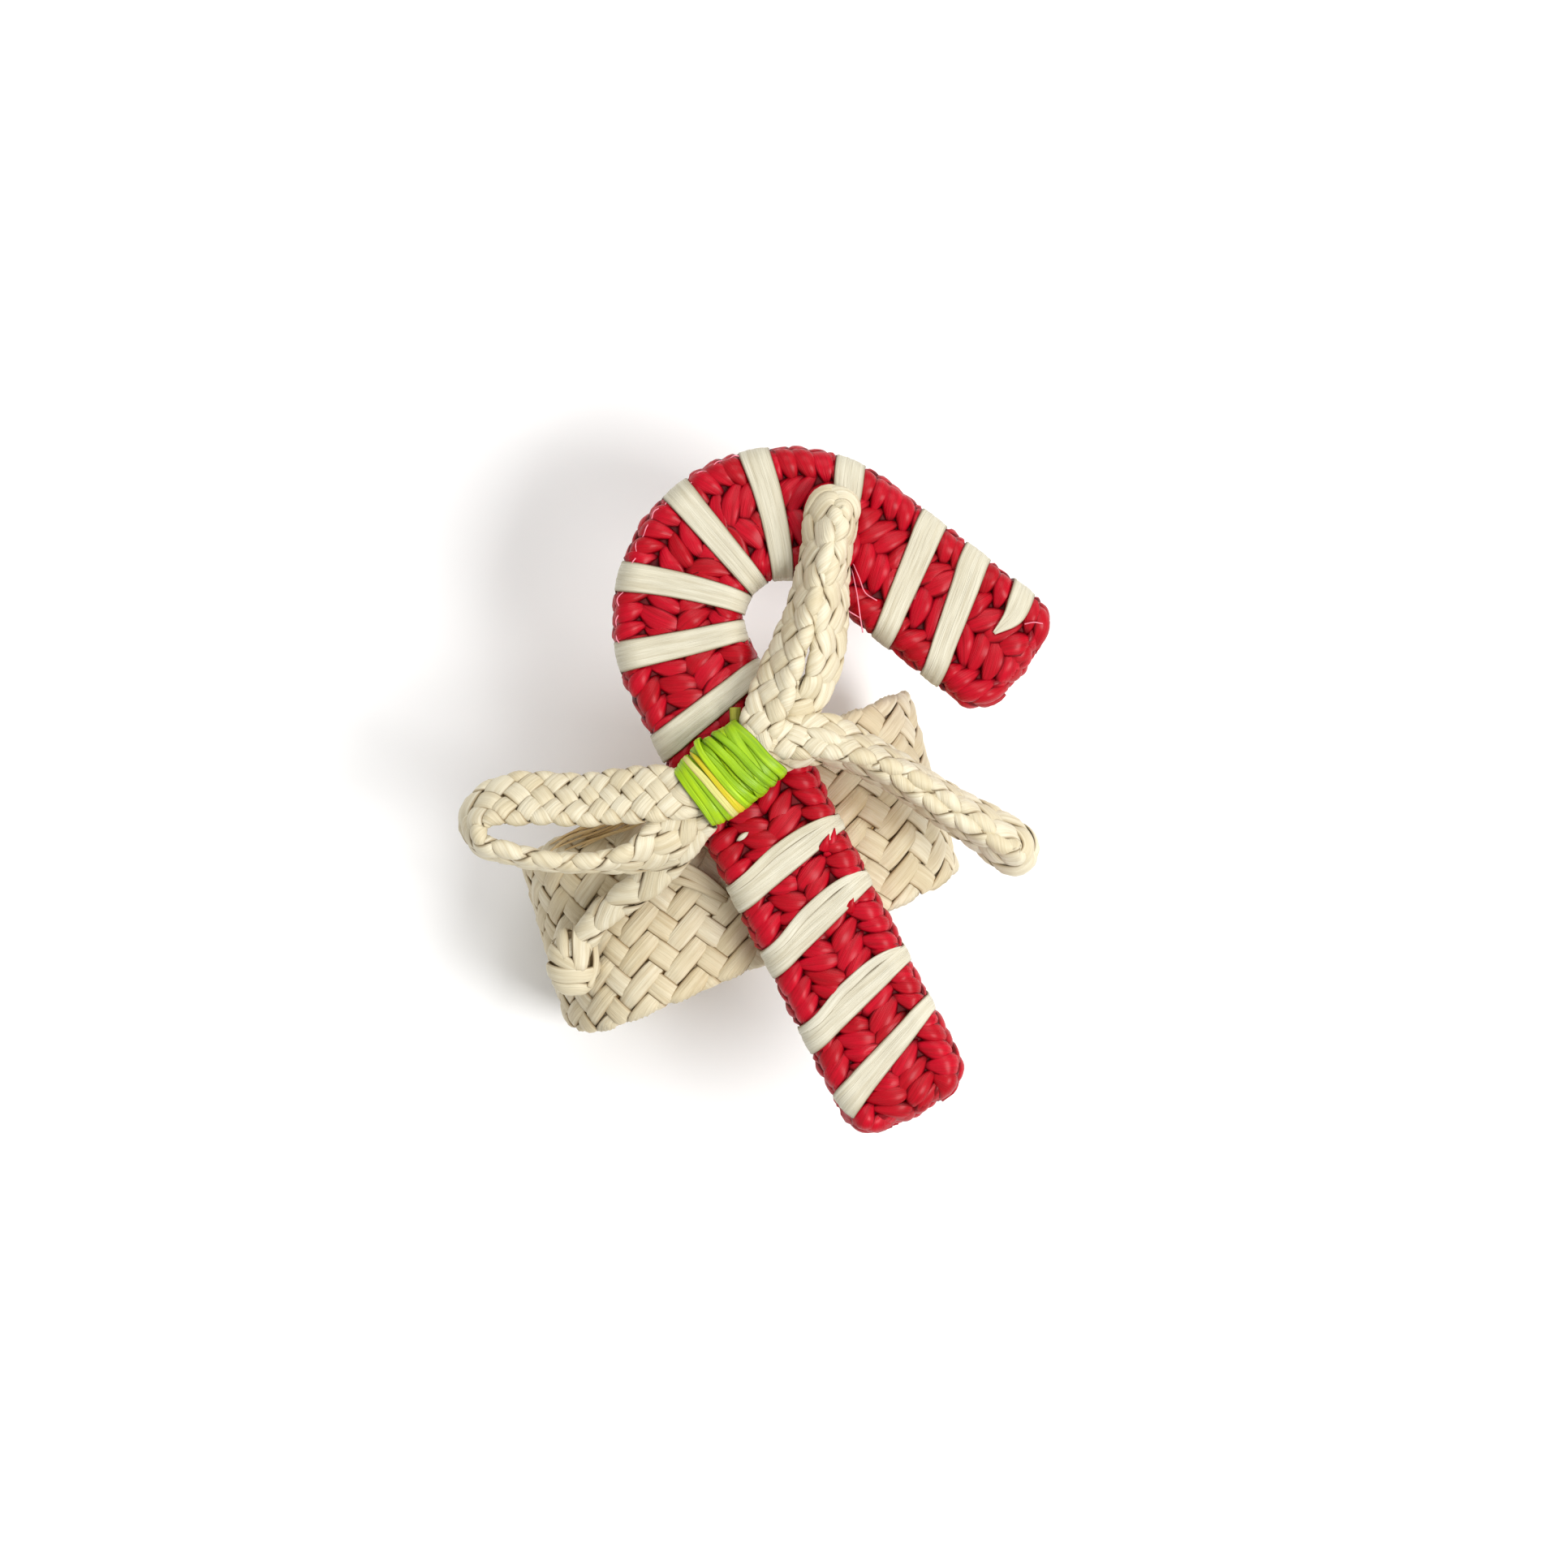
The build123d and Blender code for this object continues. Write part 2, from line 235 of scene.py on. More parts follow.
class Strips:
    """Closed strips gathered into one mesh, with fibre coordinates, tints, edge marks and painted shade
    marks.
    """

    def __init__(self):
        self.points = []
        self.quads = []
        self.caps = []
        self.marks = []
        self.fibres = []
        self.count = 0

    @staticmethod
    def inside_out(rings):
        """Whether a closed strip's faces would look inwards."""
        here, ahead = rings[:-1], rings[1:]
        step = np.roll(here, -1, axis=1) - here
        middle = here - here.mean(axis=1, keepdims=True)
        facing = np.cross(ahead - here, step)
        return float(np.sum(facing * middle)) < 0.0

    def add(self, rings, across, along, edge, painted_shade, tint):
        """One closed strip from its rings of points."""
        n, k = rings.shape[:2]
        fields = [np.broadcast_to(m, (n, k)) for m in (across, along, edge, painted_shade, tint)]
        if self.inside_out(rings):
            rings = rings[:, ::-1]
            fields = [m[:, ::-1] for m in fields]
        across, along, edge, painted_shade, tint = fields
        number = self.count + np.arange(n * k).reshape(n, k)
        corner, beside = number[:-1], np.roll(number[:-1], -1, axis=1)
        quads = np.stack([corner, corner + k, beside + k, beside], -1)
        self.quads.append(quads.reshape(-1, 4))
        self.caps += [number[0].tolist(), number[-1, ::-1].tolist()]
        self.points.append(rings.reshape(-1, 3))
        across = across + FIBRE_SHIFT * len(self.fibres)
        self.fibres.append(np.stack([across, along], -1).reshape(-1, 2))
        self.marks.append(np.stack([edge, painted_shade, tint], -1).reshape(-1, 3))
        self.count += n * k

    @staticmethod
    def section(count, look, tops, crown, thickness):
        """A strip's section at count stations: the places across it from -1 to 1, round its top
        and then its underside, their heights, and how many of them are on top."""
        tops = np.array(look.get("tops", tops))
        under = tops[1:-1][::-1]
        place = np.concatenate([tops, under])
        sign = np.concatenate([np.ones(len(tops)), -np.ones(len(under))])
        sign[0] = sign[len(tops) - 1] = 0.0
        crown = column(look.get("crown", crown), count)
        height = crown * (1 - place**2) + sign * look.get("thickness", thickness) / 2
        return place, height, len(tops)

    def ribbon(self, centre, normal, width, tint=None, **look):
        """One strip along a line. The look may give thickness, crown, tops, ridges and deep."""
        count = len(centre)
        tangent = unit(np.gradient(centre, axis=0))
        normal = np.broadcast_to(normal, centre.shape)
        normal = unit(normal - tangent * np.sum(normal * tangent, 1, keepdims=True))
        side = np.cross(normal, tangent)
        place, height, tops = self.section(count, look, SECTION_PLAIN, 0.14, 0.28)
        if "ridges" in look:
            bump = rng.normal(0.0, look["ridges"], tops)
            bump[0] = bump[-1] = 0.0
            height[:, :tops] += bump
        half = column(width, count) / 2 * place
        rings = centre[:, None] + side[:, None] * half[:, :, None]
        rings = rings + normal[:, None] * height[:, :, None]
        tint = rng.random() if tint is None else tint
        painted_shade = column(look.get("painted_shade", 0.0), count)
        self.add(rings, half, distances(centre)[:, None], np.abs(place), painted_shade, tint)

    def laid(self, skin, first, second, sideways, width, lift, **look):
        """A strip that bends with a skin. skin gives points for two coordinates and a lift, and
        sideways is how much the two change for each millimetre across the strip."""
        count = len(first)
        place, height, tops = self.section(count, look, SECTION_FINE, 0.12, 0.24)
        height = height + column(lift, count)
        ridges = rng.normal(0.0, look["ridges"], tops - 2)
        height[:, 1 : tops - 1] += ridges
        height[:, tops:] += ridges[::-1]
        half = column(width, count) / 2 * place
        first_side, second_side = (column(x, count) * half for x in sideways)
        rings = skin(first[:, None] + first_side, second[:, None] + second_side, height)
        run = distances(rings.mean(axis=1))[:, None]
        painted_shade = column(look.get("painted_shade", 0.0), count)
        self.add(rings, half, run, np.abs(place), painted_shade, rng.random())

    def thread(self, centre, radius):
        """A round thread along a line."""
        tops = (-1.0, -0.7, 0.0, 0.7, 1.0)
        look = {"thickness": 0.9 * radius, "crown": 0.5 * radius, "tops": tops}
        self.ribbon(centre, (0.05, 0.1, 1.0), 2 * radius, 0.5, **look)

    def piece(self, name, material, slot, *replaced):
        """Makes the mesh object, riding on the root body."""
        mesh = bpy.data.meshes.new(name)
        points = np.concatenate(self.points) * MM
        faces = np.concatenate(self.quads).tolist() + self.caps
        mesh.from_pydata(points.tolist(), [], faces)
        corners = np.zeros(len(mesh.loops), np.int32)
        mesh.loops.foreach_get("vertex_index", corners)
        layer = mesh.uv_layers.new(name="fibre")
        layer.data.foreach_set("uv", np.concatenate(self.fibres)[corners].ravel())
        marks = np.concatenate(self.marks)
        for number, mark in enumerate(("edge", "painted_shade", "tint")):
            attribute = mesh.attributes.new(mark, "FLOAT", "POINT")
            attribute.data.foreach_set("value", marks[:, number].copy())
        mesh.polygons.foreach_set("use_smooth", np.ones(len(mesh.polygons), bool))
        mesh.materials.append(material)
        mesh.update()
        thing = put(name, mesh)
        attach(thing, "root")
        if replaced:
            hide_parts(*replaced)
        return thing


# ---- materials ----
class Maker:
    """Short way to put nodes in a material."""

    def __init__(self, name, roughness, coat=0.0, specular=0.5):
        self.material = bpy.data.materials.new(name)
        self.material.use_nodes = True
        self.tree = self.material.node_tree
        self.shader = self.tree.nodes["Principled BSDF"]
        self.shader.inputs["Coat Weight"].default_value = coat
        self.shader.inputs["Coat Roughness"].default_value = 0.3
        self.shader.inputs["Specular IOR Level"].default_value = specular
        self.shader.inputs["Roughness"].default_value = roughness

    def node(self, kind, inputs, **settings):
        """A new node with its settings, and its inputs linked or set."""
        node = self.tree.nodes.new(kind)
        for key, value in settings.items():
            setattr(node, key, value)
        for key, value in inputs.items():
            if isinstance(value, bpy.types.NodeSocket):
                self.tree.links.new(value, node.inputs[key])
            else:
                node.inputs[key].default_value = value
        return node

    def mark(self, name):
        """One of the mesh's own marks."""
        return self.node("ShaderNodeAttribute", {}, attribute_name=name).outputs["Fac"]

    def fibres(self, across, along, detail=2.0):
        """Streaks that run along a strip, from 0 to 1."""
        uv = self.node("ShaderNodeUVMap", {}, uv_map="fibre").outputs["UV"]
        scale = {"Vector": uv, "Scale": (across, along, 1.0)}
        placed = self.node("ShaderNodeMapping", scale).outputs["Vector"]
        looks = {"Vector": placed, "Scale": 1.0, "Detail": detail, "Roughness": 0.55}
        return self.node("ShaderNodeTexNoise", looks).outputs["Fac"]

    def spread(self, value, low, high, to_low=0.0, to_high=1.0):
        """A value's range stretched to another, and held within it."""
        inputs = {0: value, 1: low, 2: high, 3: to_low, 4: to_high}
        return self.node("ShaderNodeMapRange", inputs).outputs[0]

    def mix(self, factor, first, second):
        """Two colours mixed."""
        inputs = {0: factor, 6: first, 7: second}
        return self.node("ShaderNodeMix", inputs, data_type="RGBA").outputs[2]

    def finish(self, colour, height, depth, roughness=None):
        """Joins colour, bump and roughness to the shader."""
        looks = {"Height": height, "Distance": depth * MM, "Strength": 1.0}
        bump = self.node("ShaderNodeBump", looks).outputs["Normal"]
        self.tree.links.new(bump, self.shader.inputs["Normal"])
        self.tree.links.new(colour, self.shader.inputs["Base Color"])
        if roughness is not None:
            self.tree.links.new(roughness, self.shader.inputs["Roughness"])
        return self.material


def rgb(red, green, blue):
    """Linear colour from a screen colour of 0 to 255."""
    return (*[(channel / 255.0) ** 2.2 for channel in (red, green, blue)], 1.0)


def leaf(name, *tones, shine=(0.04, 0.35), roughness=(0.42, 0.62), streak=0.5):
    """Leaf strip: fibre streaks, a tint for each strip, and painted shade along its edges and where it
    sinks under others.

    The tones are its light, warm and dark colours and the painted shade colour of its gaps, and the
    shine its coat and specular."""
    light, warm, dark, gap = (rgb(*tone) for tone in tones)
    make = Maker(name, 0.5, *shine)
    coarse = make.fibres(1.5, 0.09, 3.0)
    fine = make.fibres(7.0, 0.16, 2.0)
    blotch = make.fibres(0.45, 0.22, 2.0)
    tint = make.mark("tint")
    base = make.mix(make.spread(tint, 0.15, 1.0, 0.0, 0.75), light, warm)
    base = make.mix(make.spread(coarse, 0.42, 0.68, 0.0, streak), base, dark)
    base = make.mix(make.spread(blotch, 0.5, 0.75, 0.0, 0.4), base, warm)
    base = make.mix(make.spread(fine, 0.45, 0.75, 0.0, streak * 0.7), base, dark)
    # Painted shade: the gap colour where a strip sinks under others, in the dark cores and crevices,
    # and along each strip's edges.
    base = make.mix(make.spread(make.mark("painted_shade"), 0.15, 1.0, 0.0, 0.85), base, gap)
    base = make.mix(make.spread(make.mark("edge"), 0.8, 1.0, 0.0, 0.75), base, gap)
    height = make.mix(0.5, make.fibres(2.4, 0.07), make.fibres(8.0, 0.12))
    rough = make.spread(fine, 0.3, 0.7, *roughness)
    return make.finish(base, height, 0.22, rough)


# The last tone of each leaf is the painted shade colour of its gaps and crevices.
palm_weave = leaf("palm_weave", (222, 212, 185), (206, 190, 154), (180, 158, 116), (134, 102, 58))
palm_plait = leaf("palm_plait", (226, 218, 193), (210, 197, 164), (184, 165, 124), (128, 100, 58))
palm_wound = leaf("palm_wound", (217, 212, 193), (203, 196, 172), (170, 158, 128), (126, 110, 80))
red_look = {"shine": (0.22, 0.1), "roughness": (0.38, 0.54), "streak": 0.45}
red_leaf = leaf("red_leaf", (192, 0, 38), (168, 0, 24), (124, 0, 16), (30, 0, 4), **red_look)
green_look = {"shine": (0.16, 0.3), "roughness": (0.36, 0.52), "streak": 0.6}
green_leaf = leaf("green_leaf", (174, 212, 14), (124, 170, 0), (92, 136, 0), (34, 64, 0), **green_look)
streak_leaf = leaf("streak_leaf", (228, 206, 36), (196, 200, 30), (206, 140, 60), (110, 110, 10))
pink_thread = leaf("pink_thread", (244, 150, 166), (232, 120, 140), (206, 84, 108), (150, 40, 60))
pale_green = leaf("pale_green", (222, 226, 140), (206, 206, 116), (206, 160, 110), (120, 140, 30))
dry_leaf = leaf("dry_leaf", (150, 152, 44), (132, 124, 40), (84, 84, 16), (50, 48, 10))
brown_leaf = leaf("brown_leaf", (216, 190, 140), (204, 168, 110), (168, 126, 72), (112, 80, 42))


def shadow_leaf(name, colour, darker):
    """Matt inner surface seen only through the gaps between strips, dark with painted shade."""
    make = Maker(name, 0.85)
    grain = make.fibres(0.8, 0.8, 3.0)
    base = make.mix(make.spread(grain, 0.35, 0.65), rgb(*colour), rgb(*darker))
    return make.finish(base, grain, 0.1)


# Both linings are dark with painted shade for the gaps they show through.
hoop_shade_lining = shadow_leaf("hoop_shade_lining", (192, 152, 98), (150, 112, 64))
red_core_shade = shadow_leaf("red_core_shade", (112, 6, 20), (78, 3, 12))

# ---- camera and lights ----
scene = bpy.context.scene
scene.view_settings.view_transform = "Standard"

# Camera, lights and floor are placed in metres. The lens is in millimetres.
CAMERA_PLACE = (0.0092, 0.0095, 0.493)
CAMERA_TURN = math.radians(-15.6)
CAMERA_LENS = 76.2
LIGHTS_AIM = (0.008, 0.008, 0.03)
SURROUND_STRENGTH = 0.5
FLOOR_REACH = 1.6


def look_down():
    """Camera straight above the object, turned a little clockwise."""
    data = bpy.data.cameras.new("camera")
    data.sensor_width = 36.0
    data.lens = CAMERA_LENS
    data.clip_start = 0.01
    camera = put("camera", data)
    camera.location = CAMERA_PLACE
    camera.rotation_euler = (0.0, 0.0, CAMERA_TURN)
    scene.camera = camera


def soft_light(name, place, size, watts):
    """Square area light aimed at the object."""
    data = bpy.data.lights.new(name, "AREA")
    data.size = size
    data.energy = watts
    light = put(name, data)
    light.location = place
    aim = Vector(LIGHTS_AIM) - light.location
    light.rotation_euler = aim.to_track_quat("-Z", "Y").to_euler()


def surround():
    """Pale light from all round."""
    world = bpy.data.worlds.new("surround")
    world.use_nodes = True
    background = world.node_tree.nodes["Background"]
    background.inputs["Color"].default_value = (1.0, 0.99, 0.97, 1.0)
    background.inputs["Strength"].default_value = SURROUND_STRENGTH
    scene.world = world


def floor():
    """Plain pale floor."""
    mesh = bpy.data.meshes.new("floor")
    signs = ((-1, -1), (1, -1), (1, 1), (-1, 1))
    corners = [(x * FLOOR_REACH, y * FLOOR_REACH, 0) for x, y in signs]
    mesh.from_pydata(corners, [], [(0, 1, 2, 3)])
    make = Maker("floor_paper", 0.8)
    grain = make.node("ShaderNodeTexNoise", {"Scale": 60.0}).outputs["Fac"]
    colour = make.mix(grain, (0.95, 0.95, 0.95, 1.0), (0.98, 0.98, 0.98, 1.0))
    mesh.materials.append(make.finish(colour, grain, 0.05))
    put("floor", mesh)


look_down()
soft_light("key", (0.46, -0.3, 0.8), 0.4, 7.2)
soft_light("fill", (0.3, 0.55, 0.75), 0.7, 3.6)
soft_light("low", (-0.5, -0.3, 0.7), 0.6, 0.4)
surround()
floor()


# ---- plaits ----
# How far a strip rises and sinks as it passes over and under, and how sharply it does so.
PLAIT_LIFT = 0.19
PLAIT_SHARPNESS = 1.8


def plait(strips, line, across, normals, half_width, half_depth, count, leads, begin=0.25):
    """Flat plait along a line: count strips lean each way round it, over and under one another.

    Leads are how far along a strip goes while it passes once round the plait, from the line's
    start to its end."""
    run = distances(line)
    length = run[-1]

    def around(s):
        """Distance round the plait's section at s."""
        flat = np.interp(s, run, half_width) - half_depth
        return 4 * flat + 2 * math.pi * half_depth

    def skin(s, turn, lift):
        """Point of the plait's skin, s along it and turn round it from the middle of its face."""
        s = np.clip(s, 0.0, length)
        turn = (turn + 0.5) % 1.0 - 0.5
        flat = np.interp(s, run, half_width) - half_depth
        c = np.abs(turn) * around(s)
        angle = np.clip((c - flat) / half_depth, 0.0, math.pi)
        beyond = np.maximum(c - flat - math.pi * half_depth, 0.0)
        out = np.minimum(c, flat) + half_depth * np.sin(angle) - beyond
        sign = np.where(turn < 0, -1.0, 1.0)
        middle, side, up = (
            np.stack([np.interp(s, run, rows[:, k]) for k in range(3)], -1)
            for rows in (line, across, normals)
        )
        full = 0.16 * np.cos(np.minimum(out / (flat + half_depth), 1.0) * math.pi / 2)
        out = sign * (out + lift * np.sin(angle))
        high = (half_depth + full) * np.cos(angle) + lift * np.cos(angle)
        return middle + side * out[..., None] + up * high[..., None]

    s = np.linspace(0.0, length, int(length * 4.0))
    lead = np.interp(s, np.linspace(0.0, length, len(leads)), leads)
    lead = lead * (1.0 + 0.1 * np.sin(s / 5.3 + 6 * rng.random()))
    phase = np.concatenate([[0.0], np.cumsum(np.diff(s) / lead[1:])])
    wave = np.cos(2 * math.pi * count * phase)
    for direction in (1, -1):
        lift = np.tanh(PLAIT_SHARPNESS * wave * direction) / math.tanh(PLAIT_SHARPNESS)
        for number in range(count):
            own = 0.018 * np.sin(s / 4.1 + 6 * rng.random())
            turn = begin + number / count + direction * phase + own
            slope = around(s) / lead
            stretch_by = np.hypot(1.0, slope)
            width = around(s) / count / stretch_by * (0.95 + 0.08 * rng.random())
            sideways = (-direction * slope / stretch_by, 1.0 / stretch_by / around(s))
            # Painted shade where a strip sinks under the one that crosses it.
            look = {
                "crown": 0.13 + 0.1 * lift,
                "painted_shade": 0.85 * smooth(-0.15 - 0.9 * lift),
                "ridges": 0.025,
            }
            width = width * (0.98 + 0.04 * lift)
            strips.laid(skin, s, turn, sideways, width, PLAIT_LIFT * lift, **look)
    # Dark core under the strips, all painted shade, seen only through the gaps between them.
    s = np.linspace(0.3, length - 0.3, int(length * 1.5))
    turn = np.linspace(0.0, 1.0, 14, endpoint=False)
    s, turn = np.meshgrid(s, turn, indexing="ij")
    strips.add(skin(s, turn, np.full_like(s, -0.3)), 0.0, s, 0.0, 1.0, 0.8)


LOOP_HALF_DEPTH = 0.72


def bow_loop(name, stations, leads, way, node):
    """One loop of the bow, a flat plait through its stations. Way is 1 where it turns left."""
    path, _ = through(stations, 260)
    line, tilt, half = path[:, :3], np.radians(path[:, 3]), path[:, 4]
    tangent = unit(np.gradient(line, axis=0))
    outward = unit(np.cross(tangent, UP)) * way
    upward = np.cross(outward, tangent) * way
    across = outward * np.cos(tilt)[:, None] - upward * np.sin(tilt)[:, None]
    normals = np.cross(across, tangent)
    strips = Strips()
    plait(strips, line, across, normals, half, LOOP_HALF_DEPTH, 4, leads)
    strips.piece(name, palm_plait, "palm_plait", node)


# ---- tail and knot ----
TAIL_HALF_WIDTH = 2.0
TAIL_HALF_DEPTH = 0.8
KNOT_RADII = np.array([3.3, 4.9, 2.7])


def tail_spline():
    """Points of the tail's smooth line, in metres, read from its spline."""
    data = bpy.data.curves.new("tail_line", "CURVE")
    data.dimensions = "3D"
    data.resolution_u = 24
    spline = data.splines.new("NURBS")
    places = TAIL_ROUTE + (KNOT_CENTRE,)
    spline.points.add(len(places) - 1)
    for point, place in zip(spline.points, places):
        point.co = (*[MM * x for x in place], 1.0)
    spline.order_u = 3
    spline.use_endpoint_u = True
    holder = bpy.data.objects.new("tail_line", data)
    read = bpy.data.meshes.new_from_object(holder)
    points = [tuple(vertex.co) for vertex in read.vertices]
    bpy.data.objects.remove(holder)
    bpy.data.meshes.remove(read)
    return points


def tail():
    """Narrow plait, two strips each way, that follows the tail's line into the knot."""
    points = tail_spline()
    line, run = through(np.array(points) / MM, 170)
    tangent = unit(np.gradient(line, axis=0))
    outward = np.array([-0.35, -0.25, 0.9])
    normals = unit(outward - tangent * np.sum(outward * tangent, 1, keepdims=True))
    across = np.cross(tangent, normals)
    strips = Strips()
    half = TAIL_HALF_WIDTH - 0.5 * smooth((run - 10.0) / 16.0)
    plait(strips, line, across, normals, half, TAIL_HALF_DEPTH, 2, (17.0, 15.0), 0.125)
    piece = strips.piece("bow_tail", palm_plait, "palm_plait", "bow_tail_plait")
    return piece, points


# Strips of the knot: the directions from its middle that each passes, as right, up and towards
# the front, then its width and how far it stands out.
KNOT_STRIPS = (
    (((0.2, -1.0, -0.9), (0.9, 0.0, -1.0), (0.7, 0.8, -0.5)), 2.4, 0.1),
    (((-0.9, 0.7, -0.4), (-0.4, 0.0, -1.2), (-0.9, -0.7, -0.5)), 2.4, 0.1),
    (((-0.5, 1.0, -0.7), (0.2, 0.3, -1.2), (0.6, -0.7, -0.8)), 2.5, 0.3),
    (((-0.9, 0.5, -0.9), (-0.2, 0.6, 0.9), (0.9, 0.5, -0.3)), 2.6, -0.3),
    (((-0.6, 1.1, -0.6), (-0.42, 0.72, 0.5), (-0.3, 0.22, 0.9)), 2.0, 0.15),
    (((0.3, 1.1, -0.7), (0.38, 0.72, 0.6), (0.34, -0.1, 1.0)), 2.9, 0.3),
    (((-0.8, 0.25, -0.9), (-0.75, 0.3, 0.6), (0.2, -0.06, 1.0)), 2.3, 0.2),
    (((-0.7, -0.2, -0.9), (-0.9, -0.22, 0.4), (0.0, -0.26, 1.0), (0.95, -0.1, -0.2)), 2.5, 0.35),
    (((-0.5, -0.8, -0.7), (-0.7, -0.72, 0.4), (0.1, -0.76, 0.8), (0.8, -0.6, -0.3)), 2.6, 0.2),
    (((0.6, 0.7, -0.5), (0.95, 0.4, 0.3), (0.93, -0.05, 0.45), (0.6, -0.6, 0.5)), 1.5, 0.45),
)


def knot():
    """Knot of strips at the tail's end."""
    length = unit(np.array(KNOT_LENGTHWISE))
    facing = unit(UP - length * np.dot(UP, length))
    axes = np.stack([np.cross(length, facing), length, facing])
    strips = Strips()
    for places, width, lift in KNOT_STRIPS:
        line, _ = through(unit(np.array(places)), 44)
        line = unit(line)
        local = line * (KNOT_RADII + lift - 0.25)
        face = unit(line / KNOT_RADII)
        part = np.linspace(-1.0, 1.0, len(line))
        wide = width * (1.0 - 0.35 * part**2)
        # Painted shade at each strip's ends, where they tuck into the knot.
        look = {"crown": 0.32, "tops": SECTION_FINE, "ridges": 0.03, "painted_shade": 0.5 * part**6}
        centre = np.array(KNOT_CENTRE) + local @ axes
        strips.ribbon(centre, face @ axes, wide, **look)
    # Dark body under the strips, nearly all painted shade.
    turn = np.linspace(0.02, math.pi - 0.02, 13)[:, None]
    ring = np.linspace(0.0, 2 * math.pi, 16, endpoint=False)[None, :]
    body = np.stack(
        [np.sin(turn) * np.sin(ring), -np.cos(turn) + 0 * ring, np.sin(turn) * np.cos(ring)], -1
    )
    rings = np.array(KNOT_CENTRE) + (body * (KNOT_RADII - 0.5)) @ axes
    strips.add(rings, 0.0, turn * 4.0, 0.0, 0.9, 0.9)
    return strips.piece("knot", palm_plait, "palm_plait", "tail_knot")


knot_piece = knot()
tail_piece, tail_points = tail()
bow_loop("bow_left", LEFT_LOOP, (13.0, 13.0, 15.0, 24.0, 23.0, 22.0), 1, "bow_left_loop")
bow_loop("bow_right", RIGHT_LOOP, (20.0, 22.0, 24.0, 20.0, 15.0), 1, "bow_right_loop")
bow_loop("bow_upper", UPPER_LOOP, (18.0, 19.0, 26.0, 26.0, 22.0), -1, "bow_upper_loop")


# ---- hoop ----
# The band is two layers, folded over at both rims: half the distance between them, the flat
# width between the folds, and the distances round a fold and round the whole band.
LAYER = 0.45
FLAT = BAND_WIDTH - 1.0
FOLD = math.pi * LAYER
BAND_ROUND = 2 * (FLAT + FOLD)
# Where the hoop's flats and corners end, round its middle.
QUARTER = math.pi / 2 * (HOOP_CORNER - 2 * LAYER)
HOOP_STOPS = np.cumsum(
    [0, HOOP_HALF_FLAT, QUARTER, HOOP_SIDE_FLAT, QUARTER, 2 * HOOP_HALF_FLAT]
    + [QUARTER, HOOP_SIDE_FLAT, QUARTER, HOOP_HALF_FLAT]
)
HOOP_ROUND = HOOP_STOPS[-1]
# Where the band's rim is drawn in: distance round the hoop, by what share, and how far it reaches.
PULLED_CORNERS = ((HOOP_STOPS[7], 0.2), (HOOP_STOPS[2], 0.06))
PULLED_REACH = 8.0
# The weave is widest at one place round the hoop, by this share.
WIDEST = 24.0
WIDENING = 0.25


def hoop_swell(p):
    """How much wider the weave is there than on average."""
    return 1.0 + WIDENING * np.cos(2 * math.pi * (p - WIDEST) / HOOP_ROUND)


def hoop_skin(p, c, lift):
    """Point of the band's skin, p round the hoop and c round the band's section."""
    swell = WIDENING * HOOP_ROUND / (2 * math.pi)
    p = (p + swell * np.sin(2 * math.pi * (p - WIDEST) / HOOP_ROUND)) % HOOP_ROUND
    c = c % BAND_ROUND
    a = HOOP_HALF_FLAT
    x0 = np.interp(p, HOOP_STOPS, [0, a, a, a, a, -a, -a, -a, -a, 0])
    b = HOOP_SIDE_FLAT / 2
    z0 = np.interp(p, HOOP_STOPS, [b, b, b, -b, -b, -b, -b, b, b, b]) + HOOP_MIDDLE_HEIGHT
    angle = np.radians(np.interp(p, HOOP_STOPS, [90, 90, 0, 0, -90, -90, -180, -180, -270, -270]))
    stops = np.cumsum([0, FLAT, FOLD, FLAT, FOLD])
    half = FLAT / 2
    fold = np.interp(c, stops, [0, 0, math.pi, math.pi, 2 * math.pi])
    y = np.interp(c, stops, [-half, half, half, -half, -half]) + LAYER * np.sin(fold)
    depth = LAYER * (2 - np.cos(fold))
    out = np.stack([np.cos(angle), 0 * angle, np.sin(angle)], -1)
    base = np.stack([x0, y, z0], -1) + out * (HOOP_CORNER - depth)[..., None]
    pulled = sum(pull * np.exp(-(((p - at) / PULLED_REACH) ** 2)) for at, pull in PULLED_CORNERS)
    base[..., 1] *= 1.0 - np.where(base[..., 1] < 0, pulled, 0.3 * pulled)
    base[..., 1] += BAND_SKEW * base[..., 0]
    normal = out * np.cos(fold)[..., None] + np.array([0, 1, 0]) * np.sin(fold)[..., None]
    return base + normal * np.asarray(lift)[..., None]


# Strips in each direction, and how many strips' spacing each goes round the hoop while it goes
# once round the band. The numbers keep the weave whole where its ends meet.
RISING = 27
FALLING = 42
RISE_TURNS = 16
FALL_TURNS = 10
# Stations along each strip, how far it rises and sinks in the weave, and how sharply.
RISING_STATIONS = 200
FALLING_STATIONS = 144
WEAVE_LIFT = 0.24
WEAVE_SHARPNESS = 2.2
# Painted shade on the far left corner of the weave, under the left loop and partly the weave's own tan:
# how strong it is, and how far it reaches.
CORNER_SHADE = 0.3
CORNER_REACH = 11.0
# Painted shadow of the right loop on the weave under its lower edge: its ends, seen from the front,
# how strong it is, and how far it reaches.
LOOP_SHADE_START = np.array([13.0, 9.2])
LOOP_SHADE_END = np.array([24.0, -0.6])
LOOP_SHADE_STRENGTH = 0.55
LOOP_SHADE_REACH = 2.4


